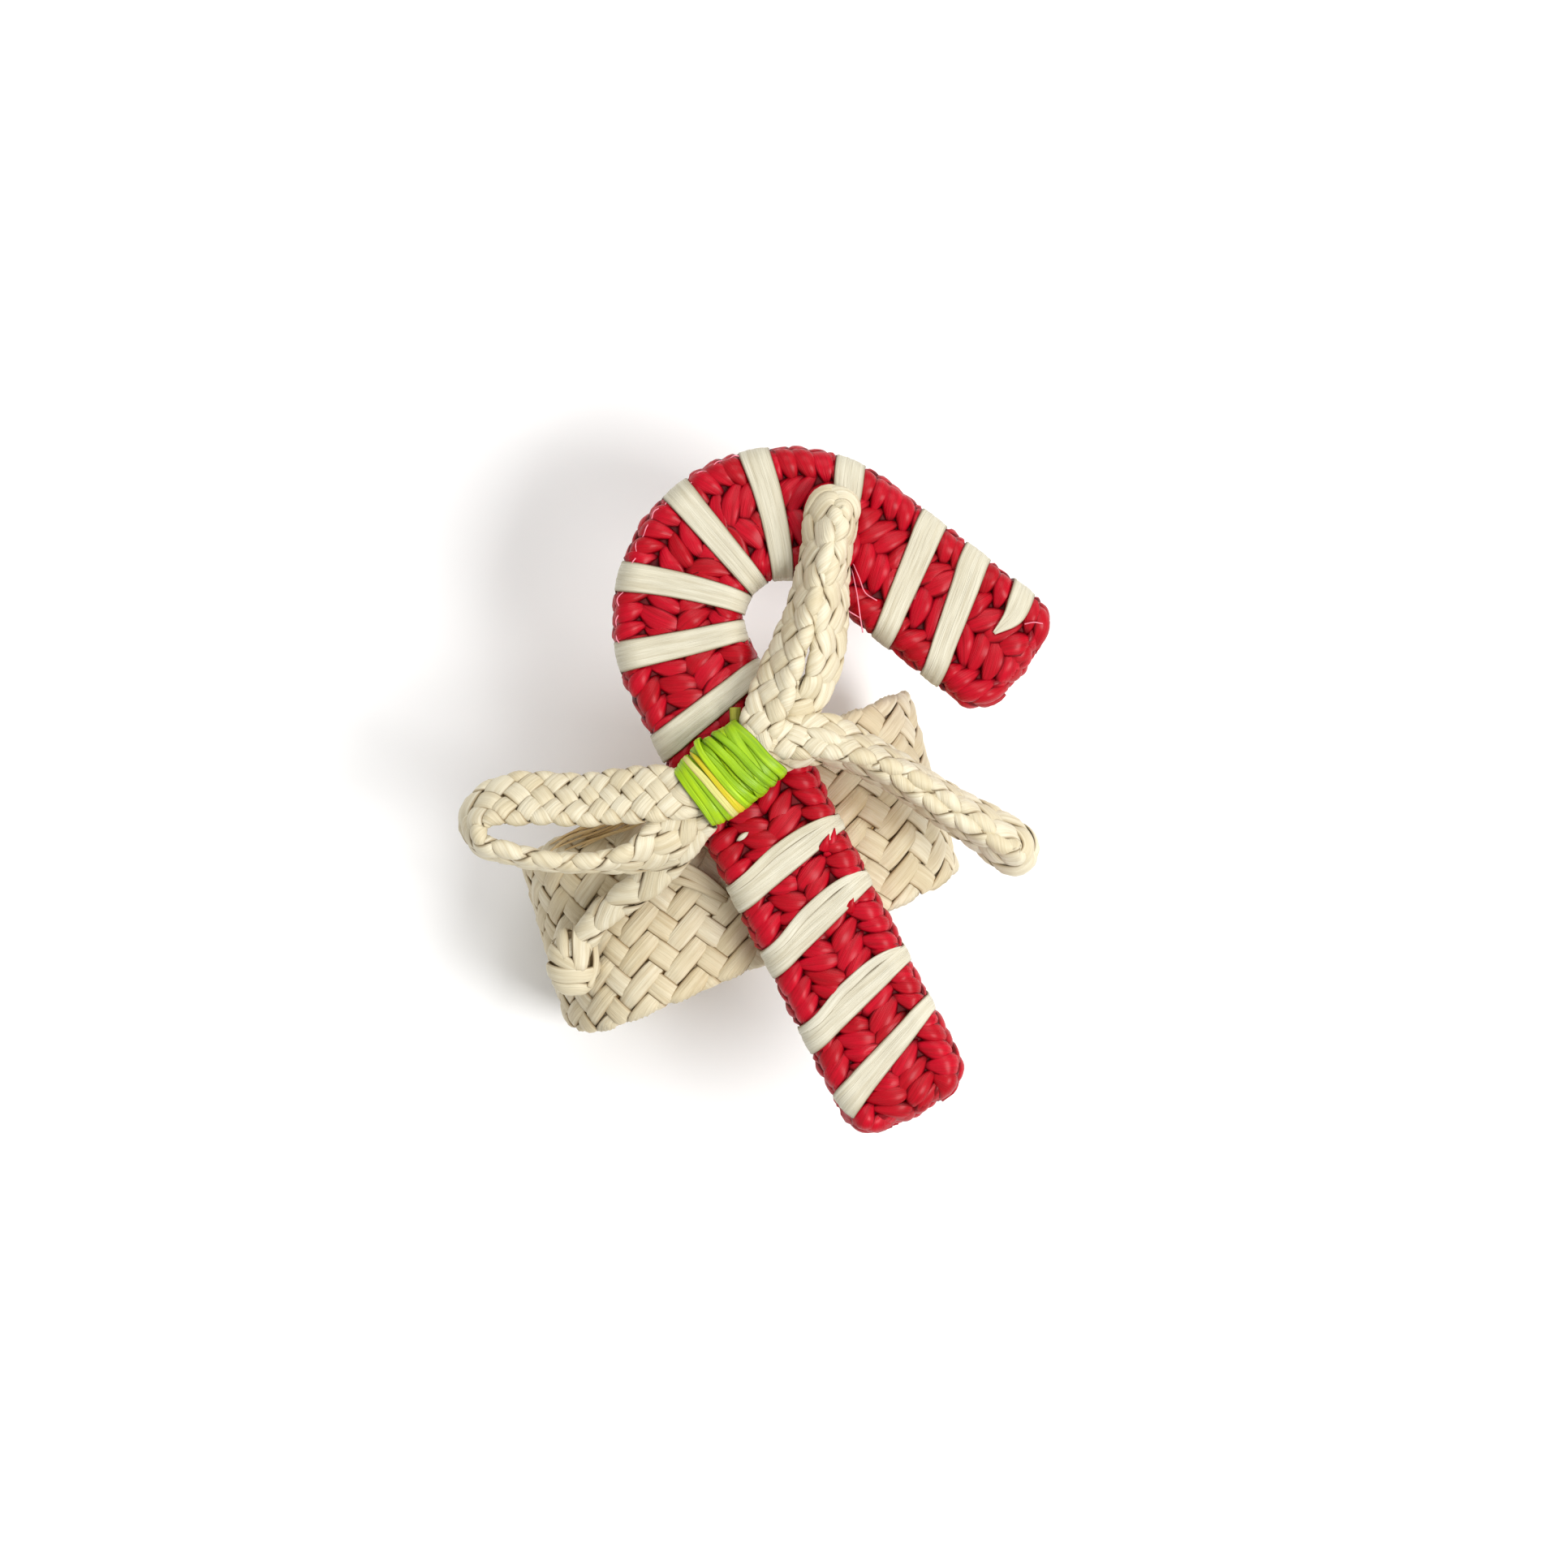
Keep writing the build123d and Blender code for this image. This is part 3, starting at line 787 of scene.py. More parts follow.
def loop_shade(p, c):
    """Painted shade on the weave: round its far left corner, partly the weave's own tan, and the right
    loop's shadow under it.
    """
    corner = CORNER_SHADE * np.exp(-(((p - HOOP_STOPS[7]) / CORNER_REACH) ** 2))
    place = hoop_skin(p, c, 0.0 * p)
    edge = LOOP_SHADE_END - LOOP_SHADE_START
    part = np.clip((place[..., :2] - LOOP_SHADE_START) @ edge / (edge @ edge), 0.0, 1.0)
    away = np.linalg.norm(place[..., :2] - LOOP_SHADE_START - part[..., None] * edge, axis=-1)
    front = place[..., 2] > HOOP_MIDDLE_HEIGHT
    return corner + np.where(front, LOOP_SHADE_STRENGTH * np.exp(-((away / LOOP_SHADE_REACH) ** 2)), 0.0)


def hoop_strips(rising):
    """The band's strips in one direction. The rising ones pass over two and under one."""
    count = RISING if rising else FALLING
    other = FALLING if rising else RISING
    pitch = HOOP_ROUND / count
    lead = HOOP_ROUND / RISING * RISE_TURNS / BAND_ROUND
    lag = HOOP_ROUND / FALLING * FALL_TURNS / BAND_ROUND
    slope = lead if rising else -lag
    strips = Strips()
    begin = FLAT * 1.5 + FOLD
    stations = RISING_STATIONS if rising else FALLING_STATIONS
    for number in range(count):
        c = np.linspace(begin, begin + BAND_ROUND, stations)
        jitter = 0.2 * np.sin(c / 5.0 + 7 * rng.random()) + 0.2 * (rng.random() - 0.5)
        p = pitch * number + slope * c
        crossed = (p + (lag if rising else -lead) * c) / (HOOP_ROUND / other)
        wave = np.cos(2 * math.pi * (number + crossed - 0.5) / 3) + 0.22
        lift = np.clip(np.tanh(WEAVE_SHARPNESS * wave), -0.95, 0.95)
        lift = lift if rising else -lift
        swell = hoop_swell(p)
        steep = slope * swell
        long_by = np.hypot(1.0, steep)
        sideways = (1.0 / long_by / swell, -steep / long_by)
        wide = pitch * swell / long_by * (0.97 + 0.06 * rng.random())
        # Painted shade where a strip sinks under the crossing ones, with the loops' painted shade
        # added.
        look = {
            "crown": (0.24 if rising else 0.12) + 0.1 * lift,
            "painted_shade": 0.85 * smooth(-0.2 - 0.9 * lift) + loop_shade(p, c),
            "ridges": 0.03,
        }
        wide = wide * (0.95 + (0.08 if rising else 0.03) * lift)
        strips.laid(hoop_skin, p + jitter, c, sideways, wide, WEAVE_LIFT * lift, **look)
    return strips


# How far the lining lies below the middle of the weave.
LINING_DEPTH = 0.33


def hoop():
    """The woven band: two sets of strips over a thin lining."""
    rising = hoop_strips(True)
    rising.piece("hoop_rising_strips", palm_weave, "palm_weave", "hoop_band")
    hoop_strips(False).piece("hoop_falling_strips", palm_weave, "palm_weave")
    # The lining, in painted shade colours, shows only through the gaps.
    lining = Strips()
    p = np.linspace(0.0, HOOP_ROUND, 160)[:, None]
    far = FLAT + FOLD
    c = np.array([0.5, FLAT - 0.5, far + 0.5, far + FLAT - 0.5])[None, :]
    p, c = np.broadcast_arrays(p, c)
    lining.add(hoop_skin(p, c, np.full(p.shape, -LINING_DEPTH)), c, p, 0.0, 0.0, 0.5)
    lining.piece("hoop_shade_lining", hoop_shade_lining, "palm_weave")


hoop()

# ---- cane ----
FRONT_HALF = CANE_WIDTH / 2 - CANE_EDGE_ROUND
SIDE_HALF = CANE_THICKNESS / 2 - CANE_EDGE_ROUND
BEND = math.pi / 2 * CANE_EDGE_ROUND
SECTION_STOPS = np.cumsum([0, FRONT_HALF, BEND, 2 * SIDE_HALF, BEND, FRONT_HALF])
HALF_ROUND = SECTION_STOPS[-1]
SIDE_MIDDLE = SECTION_STOPS[2] + SIDE_HALF


def wrapped(c):
    """Distance round the cane's section, brought to the turn that has the front in its middle."""
    return (c + HALF_ROUND) % (2 * HALF_ROUND) - HALF_ROUND


def turned(x, y, tilt):
    """Flat coordinates turned by a tilt."""
    cos, sin = math.cos(tilt), math.sin(tilt)
    return x * cos - y * sin, x * sin + y * cos


def cane_line(s):
    """Centre line of the cane: its point, forward and outward directions at s."""
    turn = np.clip(s - SHAFT_LENGTH, 0.0, HOOK_LENGTH) / HOOK_RADIUS
    angle = HOOK_START_ANGLE - turn
    outward = np.stack([np.cos(angle), np.sin(angle), 0 * angle], -1)
    forward = np.stack([np.sin(angle), -np.cos(angle), 0 * angle], -1)
    straight = np.minimum(s - SHAFT_LENGTH, 0.0) + np.maximum(s - SHAFT_LENGTH - HOOK_LENGTH, 0.0)
    centre = np.array([*HOOK_CENTRE, CANE_MIDDLE])
    return centre + outward * HOOK_RADIUS + forward * straight[..., None], forward, outward


def cane_section(c):
    """Outward offset, height and normal of the cane's section, c round it from the front."""
    c = wrapped(c)
    sign = np.where(c < 0, -1.0, 1.0)
    a, b = FRONT_HALF, SIDE_HALF
    base = np.interp(np.abs(c), SECTION_STOPS, [0, a, a, a, a, 0])
    level = np.interp(np.abs(c), SECTION_STOPS, [b, b, b, -b, -b, -b])
    angle = np.radians(np.interp(np.abs(c), SECTION_STOPS, [0, 0, 90, 90, 180, 180]))
    out = sign * (base + CANE_EDGE_ROUND * np.sin(angle))
    high = level + CANE_EDGE_ROUND * np.cos(angle)
    return out, high, sign * np.sin(angle), np.cos(angle)


def stretch(s, c):
    """How much longer the cane's skin is there than along its centre line."""
    out = cane_section(c)[0]
    bent = (s > SHAFT_LENGTH) & (s < SHAFT_LENGTH + HOOK_LENGTH)
    return np.where(bent, (HOOK_RADIUS + out) / HOOK_RADIUS, 1.0)


def cane_skin(s, c, lift):
    """Point on the cane's skin, s along it and c round it, raised by lift."""
    s, c, lift = np.broadcast_arrays(s, c, lift)
    held = np.clip(s, 0.0, CANE_LENGTH)
    point, forward, outward = cane_line(held)
    out, high, normal_out, normal_high = cane_section(c)
    from_end = np.minimum(held, CANE_LENGTH - held)
    t = np.clip(1.0 - from_end / CANE_END_ROUND, 0.0, 1.0)
    flat = CANE_WIDTH / 2 - CANE_END_ROUND
    narrow = (flat + CANE_END_ROUND * np.sqrt(1.0 - t * t)) * 2 / CANE_WIDTH
    u = np.clip(1.0 - from_end / CANE_EDGE_ROUND, 0.0, 1.0)
    low = (SIDE_HALF + CANE_EDGE_ROUND * np.sqrt(1.0 - u * u)) * 2 / CANE_THICKNESS
    endward = np.where(held < CANE_LENGTH / 2, -1.0, 1.0)
    tip = np.arcsin(np.maximum(t, u)) * 0.9
    normal = outward * normal_out[..., None] + UP * normal_high[..., None]
    normal = normal * np.cos(tip)[..., None] + forward * (endward * np.sin(tip))[..., None]
    place = point + outward * (out * narrow)[..., None] + UP * (high * low)[..., None]
    return place + normal * lift[..., None]


def wound_path(turns, wide_outer, wide_inner, wide_back):
    """Places of a strip wound round the cane, as rows of s, c, 0 and width. The widths are those
    at the cane's outer edge, its inner edge and its back."""
    rows = []
    full = 2 * HALF_ROUND
    for number, (outer, inner) in enumerate(turns):
        around = -full * number
        for c in (SIDE_MIDDLE, 8.0, 4.0, 0.0, -4.0, -8.0, -SIDE_MIDDLE):
            part = np.clip(0.5 - c / CANE_WIDTH, 0.0, 1.0)
            width = wide_outer + (wide_inner - wide_outer) * part
            rows.append((outer + (inner - outer) * part, c + around, 0.0, width))
        if number + 1 < len(turns):
            ahead = turns[number + 1][0]
            for back in (0.22, 0.5, 0.78):
                c = -SIDE_MIDDLE - back * (full - 2 * SIDE_MIDDLE)
                rows.append((inner + (ahead - inner) * back, c + around, 0.0, wide_back))
    return rows


# Width of both wound strips at the cane's outer edge.
STRIPE_WIDTH = 4.2
# Rows of the hook's strip, of its pointed tip and of the shaft's strip, which starts at the front.
HOOK_PATH = wound_path(HOOK_TURNS[:-1], STRIPE_WIDTH, 3.1, 3.4)
TIP_PATH = (
    (130.0, 14.5, 0.0, 3.6),
    (130.6, 8.5, 0.0, 3.5),
    (131.6, 4.5, 0.0, 2.7),
    (131.0, 1.2, 0.0, 0.5),
)
SHAFT_PATH = wound_path(SHAFT_TURNS, STRIPE_WIDTH, 2.4, 2.8)
SHAFT_PATH[:2] = [(SHAFT_TURNS[0][0] - 0.3, 8.6, 0.0, STRIPE_WIDTH)]


def covers():
    """Places (s, c) all along the wound strips, with the strip's width at each."""
    found = []
    for path in (HOOK_PATH, TIP_PATH, SHAFT_PATH):
        line, _ = through(path, int(22 * len(path)))
        found.append(line[:, [0, 1, 3]])
    found = np.concatenate(found)
    found[:, 1] = wrapped(found[:, 1])
    return found


COVERED = covers()
# How near along the cane a wound strip is to press a stitch. Beside the strip the stitches may
# swell by COVER_SWELL over the same distance.
COVER_NEAR = 9.0
COVER_SWELL = 1.6


def pressed(s, c, z):
    """Heights pressed down where a wound strip lies over them."""
    c = wrapped(c)
    cover = COVERED[np.abs(COVERED[:, 0] - s.mean()) < COVER_NEAR]
    if not len(cover):
        return z
    ds = (s[..., None] - cover[:, 0]) * stretch(s, c)[..., None]
    dc = np.abs(c[..., None] - cover[:, 1])
    dc = np.minimum(dc, 2 * HALF_ROUND - dc)
    room = (np.hypot(ds, dc) - cover[:, 2] / 2).min(axis=-1)
    limit = 0.1 + COVER_SWELL * smooth((room + 0.1) / COVER_SWELL)
    return np.minimum(z, limit)


LOZENGE_STATIONS = np.linspace(-1.0, 1.0, 13)
LOZENGE_RING = np.linspace(0.0, 2 * math.pi, 14, endpoint=False)


def lozenge_shape(length, width, rise, lean):
    """A swollen leaf stitch: its length, width and height coordinates and its painted shade, darker at
    its ends and sides where the stitches meet.
    """
    u = LOZENGE_STATIONS[:, None]
    ring = LOZENGE_RING[None, :]
    taper = np.maximum(1.0 - np.abs(u) ** 1.8, 0.0) ** 0.85 * (1.0 - lean * u) + 0.02
    x = u * length / 2 + 0 * ring
    y = taper * np.cos(ring) * width / 2 + 0.5 * lean * (u * u - 0.4) * 2.0
    crease = 0.09 * np.cos(3 * ring + 9 * rng.random()) * taper
    z = np.sign(np.sin(ring)) * np.abs(np.sin(ring)) ** 0.8 * taper * rise + crease
    # Painted shade in the crevices at the stitch's sides and ends.
    edge = smooth((np.abs(np.cos(ring)) - 0.62) / 0.36)
    painted_shade = np.maximum(smooth((np.abs(u) - 0.55) / 0.4), edge)
    return x, y, z, painted_shade


def lozenge(strips, s, c, tilt, length, width, rise):
    """One swollen stitch of red leaf on the cane's skin, at s and c, tilted from straight across."""
    lean = 0.28 if tilt > 0 else -0.28
    x, y, z, painted_shade = lozenge_shape(length, width, rise, lean)
    u = x / length * 2
    z = z - 0.34 * u * u + 0.3 * y / width - 0.2 * u * math.copysign(1.0, tilt) - 0.3
    dc, ds = turned(x, y, tilt)
    ds = ds / stretch(s, c)
    z = pressed(s + ds, c + dc, z)
    strips.add(cane_skin(s + ds, c + dc, z), y, x, 0.0, 0.95 * painted_shade, rng.random())


# Columns of stitches round the cane, and the least and most of each stitch's slant in degrees,
# length as a share of a column's spacing, width, height, and step to the next one.
COLUMNS = 10
STITCH_SLANT = (16, 40)
STITCH_LENGTH = (1.4, 1.7)
STITCH_WIDTH = (2.8, 3.6)
STITCH_RISE = (0.75, 1.05)
STITCH_STEP = (2.1, 2.7)
# Rows of stitches on the cane's flat ends: their height, and their places across the end.
CAP_ROWS = (
    (-2.2, (-5.0, -1.7, 1.6, 4.9)),
    (0.0, (-6.6, -3.3, 0.0, 3.3, 6.6)),
    (2.2, (-4.9, -1.6, 1.7, 5.0)),
)


def red_plaits():
    """Columns of swollen stitches all round the cane, shared between its four plaited quarters."""
    quarters = [Strips() for _ in range(4)]
    pitch = 2 * HALF_ROUND / COLUMNS
    for column in range(COLUMNS):
        c = (column - COLUMNS / 2 + 0.5) * pitch
        side = 1 if column % 2 else -1
        s = 0.4 + (1.3 if column % 2 else 0.0)
        front = abs(c) < HALF_ROUND / 2
        quarter = quarters[(0 if c > 0 else 1) + (0 if front else 2)]
        while s < CANE_LENGTH - 0.2:
            local = float(stretch(np.array(s), np.array(c)))
            tilt = side * math.radians(rng.uniform(*STITCH_SLANT))
            shift = rng.uniform(-0.3, 0.3)
            length = pitch * rng.uniform(*STITCH_LENGTH)
            width = rng.uniform(*STITCH_WIDTH)
            lozenge(quarter, s, c + shift, tilt, length, width, rng.uniform(*STITCH_RISE))
            s += rng.uniform(*STITCH_STEP) / max(local, 0.55)
    for s in (0.0, CANE_LENGTH):
        for high, places in CAP_ROWS:
            for out in places:
                tilt = math.radians(rng.uniform(-30, 30))
                cap_stitch(quarters[1 if out < 0 else 0], s, out, high, tilt)
    names = ("front_outer", "front_inner", "back_outer", "back_inner")
    for name, strips in zip(names, quarters):
        strips.piece(f"cane_{name}", red_leaf, "red_plait", f"cane_{name}_plait")


def cap_stitch(strips, s, across, high, tilt):
    """One stitch on the flat end of the cane."""
    point, forward, outward = cane_line(np.array(s))
    endward = forward * (-1.0 if s < CANE_LENGTH / 2 else 1.0)
    x, y, z, painted_shade = lozenge_shape(4.8, 3.5, 0.9, 0.2)
    o, h = turned(x, y, tilt)
    o = across * 0.82 + o
    h = high + h
    z = z - 0.1 * x * x - 0.055 * o * o - 0.05 * h * h - 0.1
    place = point + outward * o[..., None] + UP * h[..., None] + endward * z[..., None]
    strips.add(place, y, x, 0.0, 0.7 * painted_shade, rng.random())


# How far the dark red body lies below the cane's skin.
CORE_DEPTH = 0.8


def cane_core():
    """Dark red body under the stitches, its colour painted shade for the gaps between them."""
    strips = Strips()
    s = np.linspace(CORE_DEPTH, CANE_LENGTH - CORE_DEPTH, 150)[:, None]
    c = np.linspace(-HALF_ROUND, HALF_ROUND, 40, endpoint=False)[None, :]
    strips.add(cane_skin(s, c, -CORE_DEPTH), c, s, 0.0, 0.0, 0.5)
    strips.piece("cane_core", red_core_shade, "straw_filler", "cane_straw_filler")


def skin_ribbon(strips, rows, lift, count, **look):
    """Ribbon that follows the cane's skin through rows of s, c, 0 and width."""
    line, run = through(rows, count)
    s, c, wide = line[:, 0], line[:, 1], line[:, 3]
    sideways = square_to(s, c, stretch(s, c))
    high = spread(lift, count) + 0.05 * np.sin(run / 1.7) + 0.04 * np.sin(run / 0.83)
    strips.laid(cane_skin, s, c, sideways, wide, high, **look)


SECTION_CREASED = (-1.0, -0.9, -0.72, -0.5, -0.3, -0.1, 0.1, 0.3, 0.5, 0.72, 0.9, 1.0)
# Heights of the wound strips over the cane's skin, and those along their slivers and the tip.
STRIPE_LIFT = 0.4
SLIVER_LIFT = (0.3, 0.6, 0.75, 0.6, 0.3)
TIP_LIFT = (0.4, 0.5, 0.55, 0.45)


def stripes():
    """The two pale strips wound round the cane, with their creases and slivers."""
    look = {"ridges": 0.03, "thickness": 0.2, "crown": 0.1, "tops": SECTION_CREASED}
    hook = Strips()
    skin_ribbon(hook, HOOK_PATH, STRIPE_LIFT, 900, **look)
    skin_ribbon(hook, TIP_PATH, TIP_LIFT, 60, **look)
    hook.piece("hook_stripe", palm_wound, "palm_strip", "hook_stripe_strip")
    shaft = Strips()
    skin_ribbon(shaft, SHAFT_PATH, STRIPE_LIFT, 460, **{**look, "ridges": 0.05})
    for outer, inner in SHAFT_TURNS[1:]:
        rows = (
            (outer + 1.1, 11.0, 0.0, 0.8),
            (outer + 1.75, 6.8, 0.0, 1.3),
            ((outer + inner) / 2 + 2.0, 0.5, 0.0, 1.5),
            (inner + 1.1, -6.5, 0.0, 1.1),
            (inner + 0.4, -10.5, 0.0, 0.6),
        )
        skin_ribbon(shaft, rows, SLIVER_LIFT, 70, **look)
    shaft.piece("shaft_stripe", palm_wound, "palm_strip", "shaft_stripe_strip")


cane_core()
red_plaits()
stripes()


# Lengths of the seam thread between the wound strips: the first and last place along the cane,
# and the place round it at each.
SEAM_LENGTHS = (
    ((72.4, 77.6), (8.4, 7.7)),
    ((79.4, 86.6), (7.2, 8.2)),
    ((88.4, 94.1), (7.8, 8.6)),
)
SEAM_RADIUS = 0.085
# Radius of the loose thread ends, and the places that each runs through.
LOOSE_RADIUS = 0.09
LOOSE_THREADS = (
    ((26.2, 36.4, 42.6), (26.5, 33.6, 44.0), (26.8, 31.4, 43.8), (28.0, 30.0, 43.9)),
    ((25.9, 35.2, 42.6), (25.6, 31.4, 44.0), (25.2, 28.4, 43.9), (25.0, 26.4, 43.2)),
    ((23.2, 30.6, 43.0), (24.0, 29.6, 43.8), (25.2, 28.4, 43.2)),
    ((46.4, 21.6, 43.6), (47.6, 21.5, 43.8), (48.8, 21.0, 43.2)),
)


def threads():
    """Pink seam thread near the outer edge, dipping under the wound strips, and loose ends."""
    seam = Strips()
    part = np.linspace(0.0, 1.0, 90)
    for (start, end), (first, last) in SEAM_LENGTHS:
        s = start + (end - start) * part
        c = first + (last - first) * part + 0.2 * np.sin(s * 2.4)
        lift = 0.54 - 0.9 * (2.0 * part - 1.0) ** 10 + 0.24 * np.cos(s * 3.7)
        seam.thread(cane_skin(s, c, lift), SEAM_RADIUS)
    for places in LOOSE_THREADS:
        line, _ = through(places, 50)
        seam.thread(line, LOOSE_RADIUS)
    seam.piece("seam_thread", pink_thread, "pink_thread", "cane_edge_stitches")


# Frayed ends of red leaf at the cane's edge: foot, tip and width.
FRAYED = (
    ((12.6, -1.6, 42.4), (14.2, 1.9, 43.0), 2.2),
    ((11.9, -0.6, 43.1), (13.2, 1.3, 43.4), 1.6),
    ((13.6, -10.0, 42.3), (15.2, -6.3, 42.8), 2.2),
    ((13.0, -9.6, 42.9), (14.3, -7.4, 43.2), 1.6),
    ((15.0, -20.6, 42.2), (16.3, -18.0, 42.5), 1.8),
)
# Pale flecks of the straw inside, seen between the stitches: place along the cane and round it.
FLECKS = ((48.0, 6.2), (44.2, 3.9))


def loose_ends():
    """Frayed red tips along the cane's edges, and flecks of the straw inside it."""
    frayed = Strips()
    for foot, tip, width in FRAYED:
        part = np.linspace(0.0, 1.0, 12)[:, None]
        line = np.array(foot) * (1.0 - part) + np.array(tip) * part
        line[:, 2] += 0.35 * np.sin(math.pi * part[:, 0])
        wide = width * (1.0 - part[:, 0] ** 1.5) + 0.08
        frayed.ribbon(line, (0.3, 0.1, 1.0), wide, thickness=0.2, crown=0.25)
    frayed.piece("frayed_tips", red_leaf, "red_plait")
    flecks = Strips()
    for s, c in FLECKS:
        part = np.linspace(-1.0, 1.0, 9)
        places = cane_skin(s + 0.15 * part, c - 0.75 * part, 0.62 - 0.5 * part**2)
        wide = 0.8 * np.sqrt(1.02 - part**2)
        flecks.ribbon(places, UP, wide, thickness=0.3, crown=0.25)
    flecks.piece("straw_flecks", palm_wound, "straw_filler")


# Loose strips lying on the band beside the cane, and raw fibres on its far rim.
LOOSE_STRIPS = (
    (((-10.8, 3.6, 33.9), (-8.0, 1.9, 34.9), (-5.2, -0.6, 34.9), (-2.6, -3.6, 33.9)), 1.5),
    (((-11.2, 2.0, 33.9), (-8.6, 0.7, 34.8), (-5.8, -1.2, 34.8), (-2.8, -4.0, 33.9)), 1.2),
    (((-9.8, 4.6, 34.2), (-7.2, 2.6, 35.2), (-4.8, 0.2, 35.2), (-2.6, -3.0, 34.2)), 1.0),
)
RIM_FIBRES = (
    (((-25.0, 9.2, 29.6), (-21.4, 10.4, 32.7), (-17.0, 10.6, 34.7), (-12.0, 11.6, 35.8)), 0.5),
    (((-24.2, 9.5, 30.3), (-20.0, 9.9, 33.4), (-16.0, 10.2, 35.0), (-11.4, 11.1, 36.2)), 0.34),
    (((-23.0, 10.4, 31.2), (-18.6, 11.3, 33.8), (-14.2, 11.5, 34.8), (-10.6, 12.1, 35.4)), 0.6),
    (((-22.6, 8.9, 31.5), (-18.6, 9.2, 33.9), (-14.8, 9.4, 35.0), (-11.8, 10.2, 35.7)), 0.42),
    (((-20.4, 8.6, 32.7), (-16.6, 9.3, 34.6), (-13.0, 9.4, 35.5), (-10.6, 9.7, 36.1)), 0.5),
    (((-24.6, 10.2, 29.9), (-20.6, 11.0, 32.9), (-16.4, 11.1, 34.3), (-12.4, 12.2, 34.9)), 0.38),
    (((-21.6, 9.6, 32.1), (-17.8, 10.5, 34.4), (-14.4, 10.9, 35.8), (-11.0, 11.7, 36.7)), 0.3),
    (((-19.4, 9.6, 33.1), (-16.0, 9.8, 34.7), (-12.6, 10.6, 35.9), (-9.8, 10.9, 36.6)), 0.46),
)


def loose_palm():
    """Loose strips and raw fibres on the band."""
    strips = Strips()
    for places, wide in LOOSE_STRIPS:
        line, _ = through(places, 24)
        part = np.linspace(-1.0, 1.0, 24)
        # Darker a little all along, and painted shade towards the ends, where they pass under the tail
        # and the cane.
        look = {"ridges": 0.04, "tops": SECTION_FINE, "painted_shade": 0.25 + 0.5 * part**4}
        strips.ribbon(line, (-0.3, -0.2, 1.0), wide * (1.0 - 0.2 * part**2), **look)
    strips.piece("loose_strips", palm_weave, "palm_weave")
    fibres = Strips()
    for places, wide in RIM_FIBRES:
        line, _ = through(places, 30)
        wide = wide * (1.05 - 0.8 * np.linspace(-1.0, 1.0, 30) ** 4)
        fibres.ribbon(line, (0.0, -0.5, 1.0), wide, thickness=0.16, ridges=0.02)
    fibres.piece("rim_fibres", brown_leaf, "palm_weave")


loose_ends()
loose_palm()
threads()


# ---- tie and bunch ----
def tie_point(x, y, z):
    """Point of the tie's frame, x along the gathered plaits and z up from the cane's front."""
    c, s = math.cos(TIE_ANGLE), math.sin(TIE_ANGLE)
    return TIE_CENTRE + np.stack([x * c - y * s, x * s + y * c, z], -1)


# The tie's skin: its middle along the bunch, half its length, the distance round it, and how
# square its section is, from 0 for square to 1 for round.
TIE_MIDDLE = -0.7
TIE_HALF = 5.9
TIE_PERIMETER = 24.0
TIE_ROUNDNESS = 0.68


def tie_skin(x, turn, lift):
    """Point of the wound tie, x along the gathered plaits and turn round them from the top."""
    angle = 2 * math.pi * turn / TIE_PERIMETER
    barrel = lift + 0.15 + 0.45 * (1.0 - ((x - TIE_MIDDLE) / TIE_HALF) ** 2)
    sin, cos = np.sin(angle), np.cos(angle)
    y = np.sign(sin) * np.abs(sin) ** TIE_ROUNDNESS * (BUNCH_DEPTH / 2 + barrel)
    z = np.sign(cos) * np.abs(cos) ** TIE_ROUNDNESS * (BUNCH_HEIGHT / 2 + barrel)
    return tie_point(x, y, z + BUNCH_LOW + BUNCH_HEIGHT / 2)


def tie_strip(strips, places, width, lift):
    """One strip round the tie, through places of x and turn. Widths and lifts spread along it."""
    count = 60
    line, _ = through([(x, turn, 0.0) for x, turn in places], count)
    x, turn = line[:, 0], line[:, 1]
    width, high = spread(width, count), spread(lift, count)
    look = {"crown": 0.16, "thickness": 0.2, "ridges": 0.03}
    strips.laid(tie_skin, x, turn, square_to(x, turn, 1.0), width, high, **look)


# Strips laid over the tie's turns: widths and lifts along them, then places of x and turn.
TIE_OVER = (
    (1.3, (0.3, 0.9, 0.7, 0.6, 0.2), (-1.9, 8.0), (-2.4, 5.4), (-1.6, 1.5), (-0.2, -4.5), (0.2, -8.0)),
    (1.0, (0.3, 1.5, 1.0, 0.7, 0.2), (-1.6, 8.4), (-1.2, 5.8), (-1.9, 2.5), (-1.3, -4.5), (-1.0, -8.0)),
    (1.3, (0.3, 0.8, 0.75, 0.7, 0.2), (-0.6, 8.2), (-0.4, 5.4), (0.2, 1.5), (1.6, -4.5), (1.8, -8.0)),
    (1.7, (0.2, 0.6, 0.65, 0.5, 0.2), (3.4, 8.2), (3.2, 5.0), (2.6, 0.0), (1.8, -5.0), (1.8, -8.0)),
    (1.1, (0.2, 0.9, 0.85, 0.7, 0.2), (0.9, 8.2), (1.1, 4.6), (2.4, -1.0), (3.2, -4.8), (3.4, -8.0)),
)
STREAK_PLACES = ((-2.9, 6.2), (-2.9, 3.6), (-2.6, 0.0), (-2.3, -5.4), (-2.3, -7.4))
TIE_STREAK = (((0.5, 0.9, 1.3, 1.4), (0.5, 0.66, 0.75, 0.7, 0.3), *STREAK_PLACES),)
PALE_PLACES = ((-4.1, 5.6), (-4.0, 2.5), (-3.6, -0.5), (-3.3, -5.4), (-3.3, -7.4))
TIE_PALE = (((0.7, 1.0, 1.2, 1.3), (0.5, 0.62, 0.7, 0.66, 0.3), *PALE_PLACES),)
# Middles of the tie's first and last turns along the bunch, and how many turns there are.
TIE_TURNS = (-6.0, 4.4, 12)


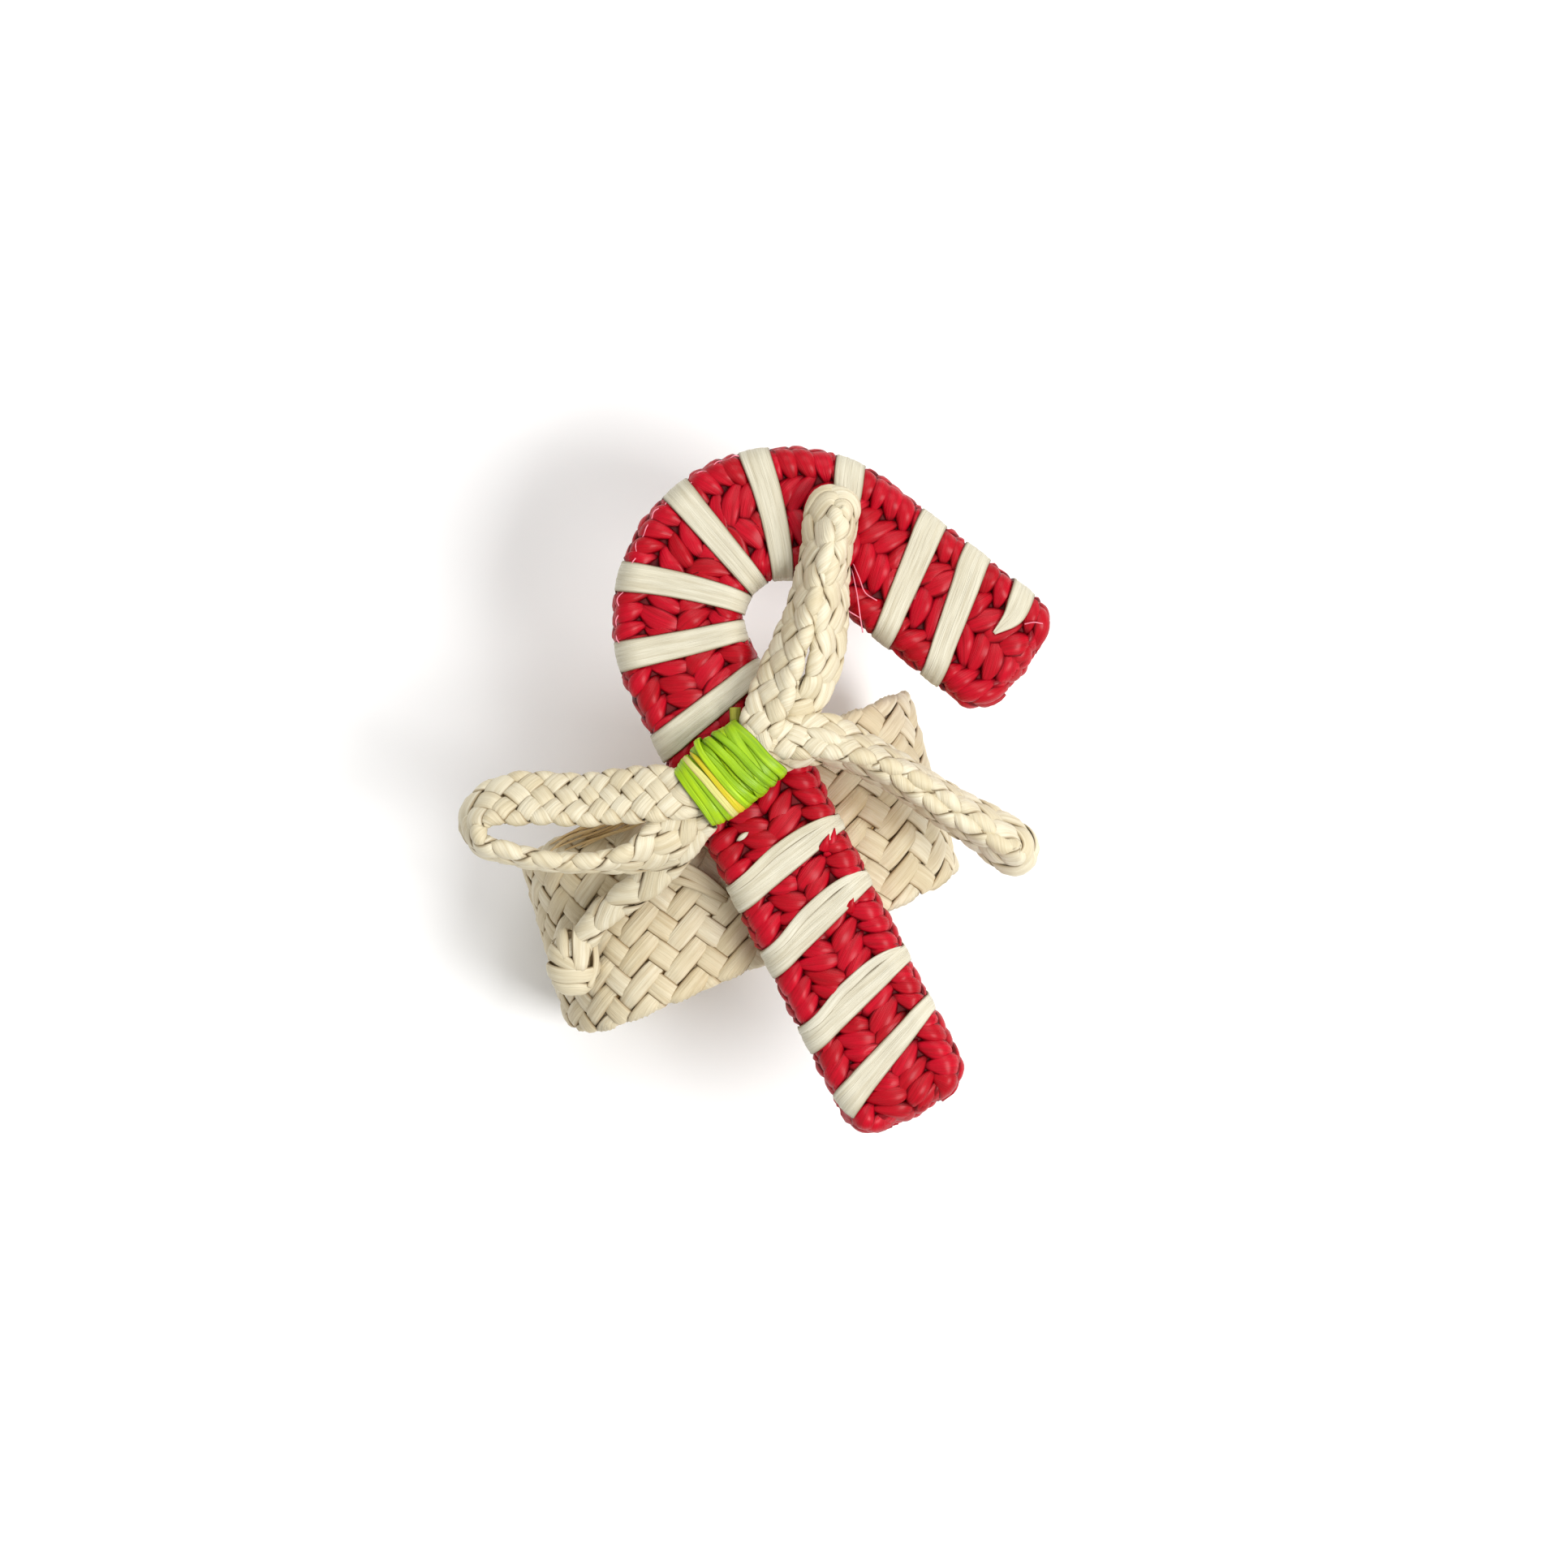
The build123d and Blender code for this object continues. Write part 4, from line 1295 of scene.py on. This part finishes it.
def tie_turns():
    """Green strips wound round the gathered plaits."""
    turns = Strips()
    half = TIE_PERIMETER / 2
    for number, x in enumerate(np.linspace(*TIE_TURNS)):
        lean = -0.06 * x + rng.uniform(-0.5, 0.5)
        width = rng.uniform(1.3, 1.75)
        high = 0.12 + 0.2 * (number % 3)
        places = [(x - 0.2 * lean, turn) for turn in (-half - 0.5, -8.0)]
        places += [(x + part * lean, part * 5.0) for part in (-1.0, 0.0, 1.0)]
        places += [(x + 0.2 * lean, turn) for turn in (8.0, half + 0.5)]
        tie_strip(turns, places, width, high)
    turns.piece("tie_turns_wound", green_leaf, "green_strip", "tie_turns")


def tie_laid_strips(name, material, rows, *replaced):
    """Strips that lie loose across the tie's turns."""
    strips = Strips()
    for width, lift, *places in rows:
        tie_strip(strips, places, width, lift)
    strips.piece(name, material, "green_strip", *replaced)


# The green strip's dry cut end: where it starts, and how far it runs.
CUT_START = np.array([5.0, 18.6, 46.4])
CUT_RUN = np.array([0.6, 2.6, -0.2])


def tie_cut_end():
    """Dry cut end of the green strip."""
    cut = Strips()
    part = np.linspace(0.0, 1.0, 14)[:, None]
    centre = CUT_START + part * CUT_RUN
    cut.ribbon(centre, (0.2, 0.1, 1.0), 1.6, ridges=0.05, tops=SECTION_FINE)
    cut.piece("tie_cut", dry_leaf, "green_strip", "tie_cut_end")


# Spacing of the strips in each level of the bunch, from the lowest, then the height of the lowest
# level in the bunch, the step to the next, and the width of the strips.
LEVEL_SPACINGS = (1.2, 1.55, 1.55, 1.2)
LEVEL_FIRST = 0.7
LEVEL_STEP = 1.35
BUNCH_STRIP_WIDTH = 1.8


def bunch():
    """The gathered plaits inside the tie: levels of strips that flare at both ends."""
    strips = Strips()
    reach = BUNCH_LENGTH / 2 - 0.5
    x = np.linspace(-reach, reach, 30)
    flare = 1.0 + 0.06 * np.abs(x / 6.0) ** 3
    middle = BUNCH_LOW + BUNCH_HEIGHT / 2
    for level, spacing in enumerate(LEVEL_SPACINGS):
        for lane in range(-2, 3):
            y = lane * spacing + rng.uniform(-0.2, 0.2)
            z = BUNCH_LOW + LEVEL_FIRST + level * LEVEL_STEP + rng.uniform(-0.1, 0.1)
            centre = tie_point(x, y * flare, middle + (z - middle) * flare * 0.95)
            strips.ribbon(centre, UP, BUNCH_STRIP_WIDTH, ridges=0.03, crown=0.2)
    strips.piece("bow_bunch_strips", palm_plait, "palm_plait", "bow_bunch")


tie_turns()
tie_laid_strips("tie_over", green_leaf, TIE_OVER, "tie_over_strip")
tie_laid_strips("tie_streak", streak_leaf, TIE_STREAK)
tie_laid_strips("tie_pale_strip", pale_green, TIE_PALE)
tie_cut_end()
bunch()


# Mounting stitches: their places along the cane and to either side of its middle, and the
# heights that they run between.
MOUNTING_ALONG = (42.5, 45.7, 48.9, 52.1)
MOUNTING_OUT = 3.0
MOUNTING_HEIGHTS = (33.6, 35.0)


def mounting():
    """Pink stitches between the hoop and the cane's back."""
    strips = Strips()
    for s in MOUNTING_ALONG:
        for out in (-MOUNTING_OUT, MOUNTING_OUT):
            point, _, outward = cane_line(np.array(s))
            line = np.tile(point + outward * out, (8, 1))
            line[:, 2] = np.linspace(*MOUNTING_HEIGHTS, 8)
            strips.ribbon(line, (1.0, 0.2, 0.0), 1.1, thickness=0.9, crown=0.2)
    strips.piece("mounting_thread", pink_thread, "pink_thread", "mounting_stitches")


mounting()
